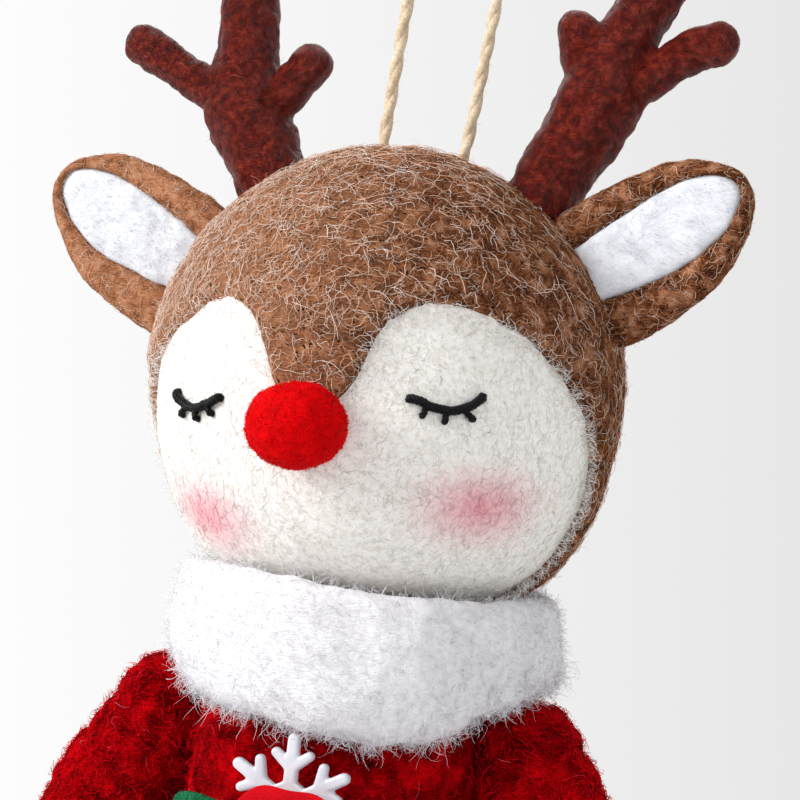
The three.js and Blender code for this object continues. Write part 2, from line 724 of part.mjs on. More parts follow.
/** A sleeve that turns on the arm thread, and the felt hand in its cuff. */
function arm(sideName, side) {
  const handStart = sleeveLength - cuffDepth;
  const handLength = cuffDepth + handReach - handRadius;
  const hand = (margin) => armRows(side, [[0, 1], [1, 1]], handLength, handRadius, handStart, margin);
  const bore = threadAcross(armThread / 2 + gap, shoulderX + armThreadInSleeve + gap);
  const rows = armRows(side, sleeveShares, sleeveLength, sleeveRadius, 0, 0);
  let sleeve = solid(loft(limbRings(rows, true, false), limbSides));
  sleeve = sleeve.subtract(solid(bore)).subtract(solid(loft(limbRings(hand(gap)), limbSides)));
  return [
    piece(`sleeve_${sideName}`, "coat", sleeve),
    piece(`hand_${sideName}`, "hood", solid(loft(limbRings(hand(0)), limbSides))),
  ];
}

/** A leg with its hoof, dangling on a short thread whose upper knot is the joint. */
function leg(sideName, side) {
  const x = side * legSpread;
  const knotZ = bodyBottom - gap - legThread;
  const legTop = knotZ - legThreadLength;
  const topRadius = legRadius * legShares[0][1];
  const rows = (shares, top, length, radius) => shares.map(([share, size]) => ({
    centre: new THREE.Vector3(x, 0, top - share * length),
    radius: radius * size,
  }));
  const straight = legLength - topRadius;
  const threadEnd = legTop - legThreadInLeg;
  const thread = solid(post(legThread / 2, threadEnd, knotZ, threadSides, x));
  const knot = new THREE.SphereGeometry(legThread, limbSides, threadSides);
  knot.rotateX(Math.PI / 2);
  knot.translate(x, 0, knotZ);
  const bore = solid(post(legThread / 2 + gap, threadEnd - gap, knotZ, threadSides, x));
  const legRows = rows(legShares, legTop - topRadius, straight, legRadius);
  const felt = solid(loft(limbRings(legRows, true, false), limbSides));
  const hoofTop = legTop - legLength - gap;
  const hoofRows = rows(hoofShares, hoofTop, hoofHeight, hoofRadius);
  const hoof = solid(loft(limbRings(hoofRows, false, false), limbSides));
  return [
    piece(`leg_${sideName}`, "hood", felt.subtract(bore)),
    piece(`leg_thread_${sideName}`, "stitch", thread.add(solid(knot))),
    piece(`hoof_${sideName}`, "hoof", hoof),
  ];
}

/** One side of a snowflake's arm, from the notch beside the hub to the tip, along and across it. */
function flakeEdge() {
  const half = flakeBar / 2;
  const lean = THREE.MathUtils.degToRad(branchAngleDeg);
  const edge = [[half / Math.tan(Math.PI / 6), half]];
  for (const [start, length] of branchShares) {
    const place = (reach, offset) => [
      start * flakeArm + reach * Math.cos(lean) - offset * Math.sin(lean),
      reach * Math.sin(lean) + offset * Math.cos(lean),
    ];
    const onBar = (offset) => place((half - offset * Math.cos(lean)) / Math.sin(lean), offset);
    const reach = length * flakeArm;
    edge.push(onBar(half), place(reach, half), place(reach + half, 0), place(reach, -half), onBar(-half));
  }
  edge.push([flakeArm - half, half]);
  return edge;
}

/** The six-armed snowflake as a flat outline. */
function flakeShape() {
  const edge = flakeEdge();
  const armOutline = [
    ...edge.map(([along, across]) => [along, -across]), [flakeArm, 0], ...edge.slice(1).reverse(),
  ];
  const corners = [];
  for (let count = 0; count < 6; count += 1) {
    const turn = Math.PI / 2 + (count * Math.PI) / 3;
    for (const [along, across] of armOutline) {
      corners.push(new THREE.Vector2(along, across).rotateAround(new THREE.Vector2(), turn));
    }
  }
  return new THREE.Shape(corners);
}

/** Snowflake, rosette and leaf on the chest, each lying on the one below it. */
function brooch() {
  const flakeZ = shoulderHeight - broochDrop;
  const rosetteZ = flakeZ - rosetteDrop;
  const chest = Math.max(...[flakeZ, flakeZ - flakeArm].map((height) => bodyHalfAt(height)[1]));
  const flakeBack = chest + layerGap + leafThickness + gap;
  const flake = new THREE.ExtrudeGeometry(flakeShape(), { depth: flakeThickness, bevelEnabled: false });
  flake.rotateX(Math.PI / 2);
  flake.translate(flakeAside, -flakeBack, flakeZ);
  const rosetteBack = flakeBack + flakeThickness + gap;
  const rings = [];
  for (let ring = 0; ring < rosetteRings; ring += 1) {
    const turn = (Math.PI / 2) * (ring / rosetteRings);
    const radius = rosetteRadius * Math.sqrt(Math.cos(turn));
    rings.push({ depth: rosetteDepth * Math.sin(turn), radius });
  }
  const petals = loft(rings.map(({ depth, radius }) => ({
    centre: new THREE.Vector3(rosetteAside, -rosetteBack - depth, rosetteZ),
    u: new THREE.Vector3(radius, 0, 0),
    v: new THREE.Vector3(0, 0, radius),
  })), rosetteSides);
  const places = petals.attributes.position;
  for (let index = 0; index < places.count; index += 1) {
    const x = places.getX(index) - rosetteAside;
    const z = places.getZ(index) - rosetteZ;
    const pleat = 1 - pleatShare * (1 + Math.cos(rosettePleats * Math.atan2(z, x)));
    places.setX(index, rosetteAside + x * pleat);
    places.setZ(index, rosetteZ + z * pleat);
  }
  return [
    piece("snowflake", "flake", solid(flake)),
    piece("rosette", "rosette", solid(petals)),
    piece("leaf", "leaf", leaf(rosetteZ)),
  ];
}

/** The felt leaf, raised at its outer end and bent less than the chest that it touches. */
function leaf(height) {
  const flat = new THREE.ExtrudeGeometry(outline(leafShares, leafLength, leafWidth / 2), {
    depth: leafThickness, bevelEnabled: false, steps: 1,
  });
  flat.translate(leafStartShare * leafLength, 0, 0);
  flat.rotateZ(THREE.MathUtils.degToRad(leafTiltDeg));
  const chest = Math.max(...[height, height - leafWidth / 2].map((level) => bodyHalfAt(level)[1]));
  const middle = chest + layerGap - leafBend;
  const places = flat.attributes.position;
  for (let index = 0; index < places.count; index += 1) {
    const turn = places.getX(index) / leafBend;
    const reach = leafBend + places.getZ(index);
    places.setXYZ(
      index, -reach * Math.sin(turn), -middle - reach * Math.cos(turn), height + places.getY(index),
    );
  }
  flip(flat);
  return solid(flat);
}

const head = new THREE.Group();
head.applyMatrix4(headTilt);
head.add(...headLayers(), nose());
for (const [sideName, side] of Object.entries(sides)) {
  head.add(eye(`eye_stitch_${sideName}`, side), ...ear(sideName, side));
  head.add(...antler(sideName, antlers[sideName]));
}

const group = new THREE.Group();
group.name = "reindeer_ornament";
const threadReach = shoulderX + armThreadInSleeve;
group.add(head, ...hanger(), ...bodyPieces(), collar(), ...brooch());
group.add(piece("shoulder_thread", "thread", solid(threadAcross(armThread / 2, threadReach))));
for (const [sideName, side] of Object.entries(sides)) {
  group.add(...arm(sideName, side), ...leg(sideName, side));
}
group.position.set(-archTop.x, -archTop.y, -(archTop.z - twineDiameter / 2));

export default group;
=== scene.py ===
"""A felted reindeer ornament that hangs on a loop of twine.

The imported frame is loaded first, and each felted, sewn or moulded part is then modelled over it as
its own piece. Lengths are millimetres from the centre of the head, as the reindeer hangs, until a
mesh is settled into the frame's metres. The reindeer faces -Y and its own left is +X.
"""

from __future__ import annotations

import json
import logging
import math
from dataclasses import dataclass, field, replace
from enum import Enum
from typing import Callable, Sequence, TypeVar

import bpy
import numpy as np
from bpy.types import Material, Mesh, Node, NodeSocket, NodeTree, Object
from mathutils import Matrix, Vector, kdtree, noise
from mathutils.bvhtree import BVHTree

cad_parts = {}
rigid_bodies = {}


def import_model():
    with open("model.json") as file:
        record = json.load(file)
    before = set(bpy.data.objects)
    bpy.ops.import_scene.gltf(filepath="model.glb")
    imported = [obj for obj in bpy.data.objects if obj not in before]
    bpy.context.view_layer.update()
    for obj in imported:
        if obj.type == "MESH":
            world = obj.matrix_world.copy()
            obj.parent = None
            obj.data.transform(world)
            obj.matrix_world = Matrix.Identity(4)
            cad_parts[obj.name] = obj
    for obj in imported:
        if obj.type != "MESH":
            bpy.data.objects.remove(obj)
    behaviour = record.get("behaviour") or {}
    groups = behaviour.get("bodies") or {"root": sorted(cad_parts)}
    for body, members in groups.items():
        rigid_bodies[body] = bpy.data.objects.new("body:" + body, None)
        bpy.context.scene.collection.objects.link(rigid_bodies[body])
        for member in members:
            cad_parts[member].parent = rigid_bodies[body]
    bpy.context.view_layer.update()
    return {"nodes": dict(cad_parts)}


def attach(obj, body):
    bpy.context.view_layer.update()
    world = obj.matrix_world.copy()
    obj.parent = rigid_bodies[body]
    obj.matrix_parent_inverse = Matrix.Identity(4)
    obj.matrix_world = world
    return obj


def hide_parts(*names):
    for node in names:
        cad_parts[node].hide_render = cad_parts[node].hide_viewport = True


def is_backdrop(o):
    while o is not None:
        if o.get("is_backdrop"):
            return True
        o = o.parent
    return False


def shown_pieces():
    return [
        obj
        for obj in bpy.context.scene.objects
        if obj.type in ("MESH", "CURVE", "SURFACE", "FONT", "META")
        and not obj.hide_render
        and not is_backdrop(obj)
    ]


log = logging.getLogger("reindeer")

MM = 0.001
ORIGIN = np.array((-2.4, -9.8, -73.6))  # head's centre, from the underside of the loop's arch
HEAD_LEAN_DEG = 4.5
HEAD_TILT_DEG = 6.0
FACE_TURN_DEG = -0.6  # the eyes and nose sit this far round
PEAK_TURN_DEG = 0.4  # and the hood's peak this far
MOST_TRIANGLES = 190_000  # in one piece

Colour = tuple[int, int, int]  # red, green and blue as a screen gives them, 0 to 255
Array = np.ndarray
Random = np.random.Generator
Pair = tuple[float, float]
Pairs = tuple[Pair, ...]
Triple = tuple[float, float, float]
Keep = Callable[[Array], Array]  # where fibres grow, from places to shares 0 to 1
Value = TypeVar("Value")


class Side(Enum):
    """The reindeer's own left and right."""

    LEFT = 1
    RIGHT = -1

    @property
    def word(self) -> str:
        """The side's name as the frame's nodes use it."""
        return self.name.lower()

    def choose(self, left: Value, right: Value) -> Value:
        """Returns the first value on the left side and the second on the right."""
        return left if self is Side.LEFT else right


HEAD_TURN = np.array(
    Matrix.Rotation(math.radians(-HEAD_LEAN_DEG), 3, "Y")
    @ Matrix.Rotation(math.radians(-HEAD_TILT_DEG), 3, "X")
)


def from_head(points: Array) -> Array:
    """Turns points in the head's frame into the body's."""
    return points @ HEAD_TURN.T


def into_head(points: Array) -> Array:
    """Turns points in the body's frame into the head's."""
    return points @ HEAD_TURN


def settled(points: Array) -> Array:
    """Turns millimetres from the head's centre into the frame's metres."""
    return (points + ORIGIN) * MM


def unit(vectors: Array) -> Array:
    """Returns vectors scaled to length 1."""
    return vectors / np.maximum(np.linalg.norm(vectors, axis=-1, keepdims=True), 1e-9)


def linear(colour: Colour) -> tuple[float, ...]:
    """Turns a colour into the renderer's linear values, with full opacity."""
    shares = [value / 255 for value in colour]
    return (*(s / 12.92 if s <= 0.04045 else ((s + 0.055) / 1.055) ** 2.4 for s in shares), 1.0)


# Meshes


def make_object(name: str, points: Array, faces: Array) -> Object:
    """Makes an object from points in millimetres and faces that all have the same number of corners.

    Args:
        name: The piece's name.
        points: Places in the body's frame, in millimetres.
        faces: Rows of point numbers.

    Returns:
        The linked object, settled in the frame and shaded smooth.
    """
    mesh = bpy.data.meshes.new(name)
    corners = faces.shape[1]
    mesh.vertices.add(len(points))
    mesh.vertices.foreach_set("co", settled(points).astype(np.float32).ravel())
    mesh.loops.add(faces.size)
    mesh.loops.foreach_set("vertex_index", faces.astype(np.int32).ravel())
    mesh.polygons.add(len(faces))
    mesh.polygons.foreach_set("loop_start", np.arange(0, faces.size, corners, dtype=np.int32))
    mesh.polygons.foreach_set("use_smooth", np.full(len(faces), True))
    mesh.update(calc_edges=True)
    obj = bpy.data.objects.new(name, mesh)
    bpy.context.scene.collection.objects.link(obj)
    return obj


def deselect_all() -> None:
    """Leaves nothing selected, so that an operator acts only on what is picked next."""
    for obj in bpy.context.view_layer.objects:
        obj.select_set(False)


def pick(obj: Object) -> None:
    """Selects one object alone and makes it active."""
    deselect_all()
    obj.select_set(True)
    bpy.context.view_layer.objects.active = obj


def take_primitive(name: str) -> Object:
    """Names the primitive that was just added and returns it."""
    obj = bpy.context.view_layer.objects.active
    obj.name = name
    obj.data.name = name
    return obj


def flat_grid(name: str, columns: int, rows: int) -> tuple[Object, Array, Array]:
    """Adds a flat grid and returns it with its points' places along and across it, -1 to 1."""
    deselect_all()
    bpy.ops.mesh.primitive_grid_add(x_subdivisions=columns, y_subdivisions=rows, size=2)
    obj = take_primitive(name)
    return obj, *mesh_points(obj.data)[:, :2].T


def mesh_points(mesh: Mesh, what: str = "co") -> Array:
    """Returns a mesh's vertex places, or their normals, as an array."""
    values = np.empty(len(mesh.vertices) * 3, np.float32)
    mesh.vertices.foreach_get(what, values)
    return values.reshape(-1, 3).astype(float)


def place_points(mesh: Mesh, points: Array) -> None:
    """Moves a mesh's vertices to new places."""
    mesh.vertices.foreach_set("co", points.astype(np.float32).ravel())
    mesh.update()


def settle(obj: Object, on_head: bool = False) -> None:
    """Takes an object that was drawn in millimetres into the frame, with its place in its mesh."""
    pick(obj)
    bpy.ops.object.transform_apply(location=True, rotation=True, scale=True)
    points = mesh_points(obj.data)
    place_points(obj.data, settled(from_head(points) if on_head else points))


def apply_modifier(obj: Object, kind: str, **settings: object) -> None:
    """Adds a modifier with these settings and applies it."""
    pick(obj)
    modifier = obj.modifiers.new(kind.title(), kind)
    for name, value in settings.items():
        setattr(modifier, name, value)
    bpy.ops.object.modifier_apply(modifier=modifier.name)


def rough(points: Array, grain: float, seed: float = 0.0) -> Array:
    """Reads smooth noise, -1 to 1, at points, with lumps of a size in millimetres."""
    shift = Vector((seed, seed * 1.7, -seed))
    return np.array([noise.noise(Vector(p) / grain + shift) for p in points])


def knobbly(points: Array, grain: float, seed: float = 0.0) -> Array:
    """Reads rounded knobs, 0 between them and 1 on top, at points."""
    shift = Vector((seed, -seed, seed * 0.6))
    nearest = [noise.voronoi(Vector(p) / grain + shift)[0][0] for p in points]
    return np.clip(1 - np.array(nearest) ** 2 / 0.5, 0, 1)


def push(obj: Object, amount: Callable[[Array], Array]) -> None:
    """Moves a settled mesh along its normals by an amount in millimetres that depends on the place."""
    places = mesh_points(obj.data)
    away = amount(places / MM - ORIGIN) * MM
    place_points(obj.data, places + mesh_points(obj.data, "normal") * away[:, None])


def face_out(obj: Object) -> None:
    """Turns all faces of a closed mesh outwards."""
    pick(obj)
    bpy.ops.object.mode_set(mode="EDIT")
    bpy.ops.mesh.select_all(action="SELECT")
    bpy.ops.mesh.normals_make_consistent(inside=False)
    bpy.ops.object.mode_set(mode="OBJECT")


def catmull(rows: Array, per_span: int) -> Array:
    """Runs a smooth line through rows of numbers.

    Args:
        rows: The rows that the line passes through.
        per_span: How many steps lie between two rows.

    Returns:
        The rows of the smooth line, the given ones among them.
    """
    padded = np.vstack([2 * rows[0] - rows[1], rows, 2 * rows[-1] - rows[-2]])
    out = []
    for index in range(1, len(padded) - 2):
        a, b, c, d = padded[index - 1 : index + 3]
        for step in range(per_span):
            t = step / per_span
            square = (2 * a - 5 * b + 4 * c - d) * t**2
            cube = (3 * b - a - 3 * c + d) * t**3
            out.append(0.5 * (2 * b + (c - a) * t + square + cube))
    out.append(rows[-1])
    return np.array(out)


def line_reach(line: Array) -> Array:
    """Returns how far along a line each of its points lies."""
    return np.concatenate([[0], np.cumsum(np.linalg.norm(np.diff(line, axis=0), axis=1))])


def line_length(line: Array) -> float:
    """Returns the length of a line of points."""
    return float(np.linalg.norm(np.diff(line, axis=0), axis=1).sum())


def resample(line: Array, count: int) -> Array:
    """Spreads a number of points evenly along a line."""
    reach = line_reach(line)
    wanted = np.linspace(0, reach[-1], count)
    return np.stack([np.interp(wanted, reach, line[:, axis]) for axis in range(line.shape[1])], axis=1)


def ring_turns(count: int) -> Array:
    """Returns the angles of points spread evenly round a ring."""
    return 2 * math.pi * np.arange(count) / count


def grid_faces(rows: int, columns: int) -> Array:
    """Returns the four-cornered faces of rings of points, numbered ring by ring."""
    side = np.arange(columns)
    start = np.arange(rows - 1)[:, None] * columns
    a = (start + side).ravel()
    b = (start + (side + 1) % columns).ravel()
    return np.stack([a, b, b + columns, a + columns], axis=1)


def ringed(name: str, rings: Array) -> Object:
    """Makes a closed body from rings of points, first and last closed to a point.

    Args:
        name: The piece's name.
        rings: An array of rings, points and places, in the body's frame.

    Returns:
        The object, with its faces outwards.
    """
    count, columns, _ = rings.shape
    points = np.vstack([rings.reshape(-1, 3), rings[0].mean(axis=0), rings[-1].mean(axis=0)])
    quads = grid_faces(count, columns)
    split = np.vstack([quads[:, [0, 1, 2]], quads[:, [0, 2, 3]]])
    side = np.arange(columns)
    after = (side + 1) % columns
    last = (count - 1) * columns
    first_cap = np.stack([np.full(columns, count * columns), after, side], axis=1)
    last_cap = np.stack([np.full(columns, count * columns + 1), last + side, last + after], axis=1)
    faces = np.vstack([split, first_cap, last_cap])
    corners = points[faces]
    volume = np.einsum("ij,ij->i", corners[:, 0], np.cross(corners[:, 1], corners[:, 2])).sum()
    if volume < 0:
        faces = faces[:, ::-1]
    return make_object(name, points, faces)


def carried_frames(line: Array) -> tuple[Array, Array]:
    """Returns two directions square to a line at each of its points, carried along without twist.

    Args:
        line: The points of the line.

    Returns:
        The two directions at each point.
    """
    along = unit(np.gradient(line, axis=0))
    start = np.array((0.0, 1.0, 0.0)) if abs(along[0][1]) < 0.9 else np.array((1.0, 0.0, 0.0))
    firsts = []
    current = start
    for direction in along:
        current = unit(current - direction * float(current @ direction))
        firsts.append(current)
    first = np.array(firsts)
    return first, np.cross(along, first)


def limb_rings(rows: Array, columns: int) -> Array:
    """Returns rings square to a limb from rows of place and radius."""
    first, second = carried_frames(rows[:, :3])
    turn = ring_turns(columns)
    ring = first[:, None] * np.cos(turn)[None, :, None] + second[:, None] * np.sin(turn)[None, :, None]
    return rows[:, None, :3] + ring * rows[:, None, 3:4]


def round_end(row: Array, along: Array, steps: int) -> Array:
    """Returns the rows of a rounded end beyond a row, towards a direction."""
    turn = np.linspace(0, 0.97 * math.pi / 2, steps + 1)[1:]
    places = row[:3] + np.outer(np.sin(turn) * row[3], along)
    return np.column_stack([places, row[3] * np.cos(turn)])


def tube(
    name: str, rows: Array, ends: Sequence[Array], steps: Sequence[int], columns: int
) -> Object:
    """Makes a limb with two round ends.

    Args:
        name: The piece's name.
        rows: Places and radii along it.
        ends: The directions in which its first and its last end point.
        steps: How many rings each end has.
        columns: How many points a ring has.

    Returns:
        The object.
    """
    first, last = (round_end(rows[at], ends[at], steps[at]) for at in (0, -1))
    return ringed(name, limb_rings(np.vstack([first[::-1], rows, last]), columns))


PLY_SHARES = {2: 0.74, 3: 0.56}  # a ply's thickness, of the yarn's
PLY_SIDES = 8


def twisted(line: Array, diameter: float, plies: int, pitch: float) -> list[Array]:
    """Lays plies round a line as a twisted yarn.

    Args:
        line: The yarn's centreline, evenly spaced.
        diameter: The yarn's thickness.
        plies: How many plies are twisted together.
        pitch: Length of one turn.

    Returns:
        One array of rings for each ply.
    """
    first, second = carried_frames(line)
    ply_radius = diameter / 2 * PLY_SHARES[plies]
    offset = diameter / 2 - ply_radius
    reach = line_reach(line)
    yarns = []
    for ply in range(plies):
        turn = 2 * math.pi * (reach / pitch + ply / plies)
        centre = line + offset * (first * np.cos(turn)[:, None] + second * np.sin(turn)[:, None])
        rows = np.column_stack([centre, np.full(len(centre), ply_radius)])
        yarns.append(limb_rings(rows, PLY_SIDES))
    return yarns


def tree_of(places: Array) -> kdtree.KDTree:
    """Returns a search tree of places, numbered in their order."""
    tree = kdtree.KDTree(len(places))
    for number, place in enumerate(places):
        tree.insert(Vector(place), number)
    tree.balance()
    return tree


def joined(name: str, parts: Sequence[Object]) -> Object:
    """Joins objects into one piece."""
    pick(parts[0])
    for part in parts:
        part.select_set(True)
    if len(parts) > 1:
        bpy.ops.object.join()
    return take_primitive(name)


def yarn(name: str, line: Array, diameter: float, plies: int, pitch: float) -> Object:
    """Makes a twisted yarn along a line as one piece of closed plies."""
    fine = resample(line, max(int(line_length(line) / pitch * 12), 8))
    tubes = twisted(fine, diameter, plies, pitch)
    return joined(name, [ringed(f"{name}_ply_{index}", rings) for index, rings in enumerate(tubes)])


# Fibres


class Surface:
    """The triangles of a finished base, which fibres are rooted on."""

    def __init__(self, obj: Object) -> None:
        """Reads a settled object's triangles, in millimetres in the body's frame.

        Args:
            obj: The object, in place.
        """
        mesh = obj.data
        mesh.calc_loop_triangles()
        corners = np.empty(len(mesh.loop_triangles) * 3, np.int32)
        mesh.loop_triangles.foreach_get("vertices", corners)
        self.triangles = corners.reshape(-1, 3)
        self.points = mesh_points(mesh) / MM - ORIGIN
        self.normals = mesh_points(mesh, "normal")
        self.tree = BVHTree.FromPolygons(self.points.tolist(), self.triangles.tolist())

    def roots(self, count: int, rng: Random, keep: Keep | None) -> tuple[Array, Array]:
        """Scatters roots evenly over the surface.

        Args:
            count: How many roots to return.
            rng: Source of random numbers.
            keep: Chance of a root at a place.

        Returns:
            The roots' places and normals.
        """
        a, b, c = (self.points[self.triangles[:, corner]] for corner in range(3))
        area = np.linalg.norm(np.cross(b - a, c - a), axis=1)
        middle = (a + b + c) / 3
        normal = unit(self.normals[self.triangles].sum(axis=1))
        if keep is not None:
            area = area * keep(middle)
        chosen = rng.choice(len(area), size=count, p=area / area.sum())
        u, v = rng.random((2, count))
        over = u + v > 1
        u[over], v[over] = 1 - u[over], 1 - v[over]
        places = a[chosen] + (b - a)[chosen] * u[:, None] + (c - a)[chosen] * v[:, None]
        return places, normal[chosen]

    def drop(self, points: Array) -> tuple[Array, Array]:
        """Returns the surface's nearest place and its normal for each point."""
        found = [self.tree.find_nearest(point) for point in points.tolist()]
        places = np.array([hit[0] for hit in found])
        triangle = np.array([hit[2] for hit in found])
        return places, unit(self.normals[self.triangles[triangle]].sum(axis=1))


@dataclass
class Strands:
    """Fibres as lines of points, with a tone and a thickness for each."""

    paths: Array
    radius: Array
    tone: Array

    def pieces(self, name: str) -> list[Object]:
        """Makes the fibres' objects, each with no more triangles than a piece may have."""
        most = MOST_TRIANGLES // (6 * (self.paths.shape[1] - 2) + 4)
        starts = range(0, len(self.paths), most)
        names = [f"{name}_{number + 1}" for number in range(len(starts))] if len(starts) > 1 else [name]
        return [self.build(word, slice(start, start + most)) for word, start in zip(names, starts)]

    def build(self, name: str, part: slice) -> Object:
        """Makes one object of three-sided fibres that thin towards the tip.

        Args:
            name: The piece's name.
            part: Which of the fibres to make.

        Returns:
            The object, with the attributes tone and along.
        """
        paths = self.paths[part]
        count, knots, _ = paths.shape
        along = unit(np.gradient(paths, axis=1))
        sideways = np.broadcast_to(unit(np.roll(along[:, :1], 1, axis=2) + 0.31), along.shape)
        u = unit(np.cross(along, sideways))
        v = np.cross(along, u)
        share = np.linspace(0, 1, knots)
        thin = self.radius[part][:, None] * (1 - 0.6 * share[None] ** 2)
        turns = ring_turns(3)
        ring = u[:, :, None] * np.cos(turns)[:, None] + v[:, :, None] * np.sin(turns)[:, None]
        rings = (paths[:, :, None] + ring * thin[:, :, None, None])[:, :-1]
        points = np.concatenate([rings.reshape(count, -1, 3), paths[:, -1:]], axis=1)
        quads = grid_faces(knots - 1, 3)
        tip = (knots - 1) * 3
        last = tip - 3 + np.arange(3)
        point = np.stack([last, np.roll(last, -1), np.full(3, tip)], axis=1)
        one = np.vstack([quads[:, [0, 1, 2]], quads[:, [0, 2, 3]], [[0, 2, 1]], point])
        faces = (one[None] + (np.arange(count) * (tip + 1))[:, None, None]).reshape(-1, 3)
        obj = make_object(name, points.reshape(-1, 3), faces)
        reach = np.append(np.repeat(share[:-1], 3), 1.0)
        values = {"tone": np.repeat(self.tone[part], tip + 1), "along": np.tile(reach, count)}
        for word, numbers in values.items():
            attribute = obj.data.attributes.new(word, "FLOAT", "POINT")
            attribute.data.foreach_set("value", numbers.astype(np.float32))
        return obj


@dataclass(frozen=True)
class Pile:
    """Fibres rooted on a surface, with the ranges that their lengths and tones are drawn from."""

    count: int
    length: Pair
    radius: float
    tones: Pair = (0.0, 1.0)
    knots: int = 5

    def grow(self, surface: Surface, rng: Random, keep: Keep | None = None) -> Strands:
        """Grows the fibres on a surface.

        Args:
            surface: What they are rooted in.
            rng: Source of random numbers.
            keep: Chance of a root at a place, as Surface.roots takes it.

        Returns:
            The fibres.
        """
        raise NotImplementedError


@dataclass(frozen=True)
class Lying(Pile):
    """Fibres matted down on a surface, in waves and arcs."""

    lift: Pair = (0.05, 0.5)
    bend: float = 0.25  # steady turning, in radians a millimetre
    wave: float = 0.9  # how strongly the heading swings to and fro
    wave_length: Pair = (1.2, 3.0)
    drift: Triple = (0.0, 0.0, 0.0)

    def grow(self, surface: Surface, rng: Random, keep: Keep | None = None) -> Strands:
        """Lays the fibres on a surface.

        Args:
            surface: What they are rooted in.
            rng: Source of random numbers.
            keep: Chance of a root at a place, as Surface.roots takes it.

        Returns:
            The fibres.
        """
        here, normal = surface.roots(self.count, rng, keep)
        heading = rng.normal(size=(self.count, 3)) + np.array(self.drift)
        heading = unit(heading - normal * np.sum(heading * normal, axis=1, keepdims=True))
        length = rng.uniform(*self.length, self.count)
        step = length / (self.knots - 1)
        bend = rng.normal(0, self.bend, self.count)
        swing = rng.normal(0, self.wave, self.count)
        phase = rng.uniform(0, 2 * math.pi, self.count)
        period = rng.uniform(*self.wave_length, self.count)
        lift = rng.uniform(*self.lift, self.count)
        line = [here + normal * 0.02]
        for knot in range(1, self.knots):
            turn = (bend + swing * np.cos(2 * math.pi * knot * step / period + phase)) * step
            turn = turn[:, None]
            heading = heading * np.cos(turn) + np.cross(normal, heading) * np.sin(turn)
            here, normal = surface.drop(here + heading * step[:, None])
            heading = unit(heading - normal * np.sum(heading * normal, axis=1, keepdims=True))
            height = lift * math.sin(math.pi * knot / (self.knots - 1)) + 0.02
            line.append(here + normal * height[:, None])
        radius = self.radius * rng.uniform(0.7, 1.25, self.count)
        return Strands(np.stack(line, axis=1), radius, rng.uniform(*self.tones, self.count))


@dataclass(frozen=True)
class Standing(Pile):
    """Fibres that stand off a surface, straight, curled or drawn into tufts."""

    stand: float = 0.7  # 1 straight out, 0 along the lay
    lay: Triple = (0.0, 0.0, 0.0)
    spread: float = 0.35
    curl: float = 0.5
    turns: float = 1.0
    tufts: int = 0
    pull: float = 0.6

    def grow(self, surface: Surface, rng: Random, keep: Keep | None = None) -> Strands:
        """Roots the fibres in a surface.

        Args:
            surface: What they are rooted in.
            rng: Source of random numbers.
            keep: Chance of a root at a place, as Surface.roots takes it.

        Returns:
            The fibres.
        """
        root, normal = surface.roots(self.count, rng, keep)
        lay = np.array(self.lay)
        flat = lay - normal * (normal @ lay)[:, None]
        along = normal * self.stand + flat * (1 - self.stand)
        along = unit(along + rng.normal(0, self.spread, (self.count, 3)))
        inward = np.minimum(np.sum(along * normal, axis=1, keepdims=True) - 0.12, 0)
        along = unit(along - normal * inward)
        u = unit(np.cross(along, unit(rng.normal(size=(self.count, 3)))))
        v = np.cross(along, u)
        length = rng.uniform(*self.length, self.count)
        step = (length / (self.knots - 1))[:, None]
        phase = rng.uniform(0, 2 * math.pi, (self.count, 1))
        speed = rng.normal(0, self.turns, (self.count, 1)) * 2 * math.pi
        here = root - normal * 0.05
        line = [here]
        for knot in range(1, self.knots):
            angle = phase + speed * knot / (self.knots - 1)
            way = unit(along + self.curl * (u * np.cos(angle) + v * np.sin(angle)))
            here = here + way * step
            line.append(here)
        paths = np.stack(line, axis=1)
        tone = rng.uniform(*self.tones, self.count)
        if self.tufts:
            paths = self.drawn_together(paths, rng)
        radius = self.radius * rng.uniform(0.75, 1.2, self.count)
        return Strands(paths, radius, tone)

    def drawn_together(self, paths: Array, rng: Random) -> Array:
        """Draws the tips of neighbouring fibres towards a shared one, so that they form tufts."""
        leaders = rng.choice(len(paths), size=self.tufts, replace=False)
        tree = tree_of(paths[leaders, 0])
        nearest = [leaders[tree.find(Vector(root))[1]] for root in paths[:, 0]]
        share = np.linspace(0, 1, self.knots)[None, :, None] ** 1.5 * self.pull
        return paths + (paths[nearest] - paths) * share


# Finishes


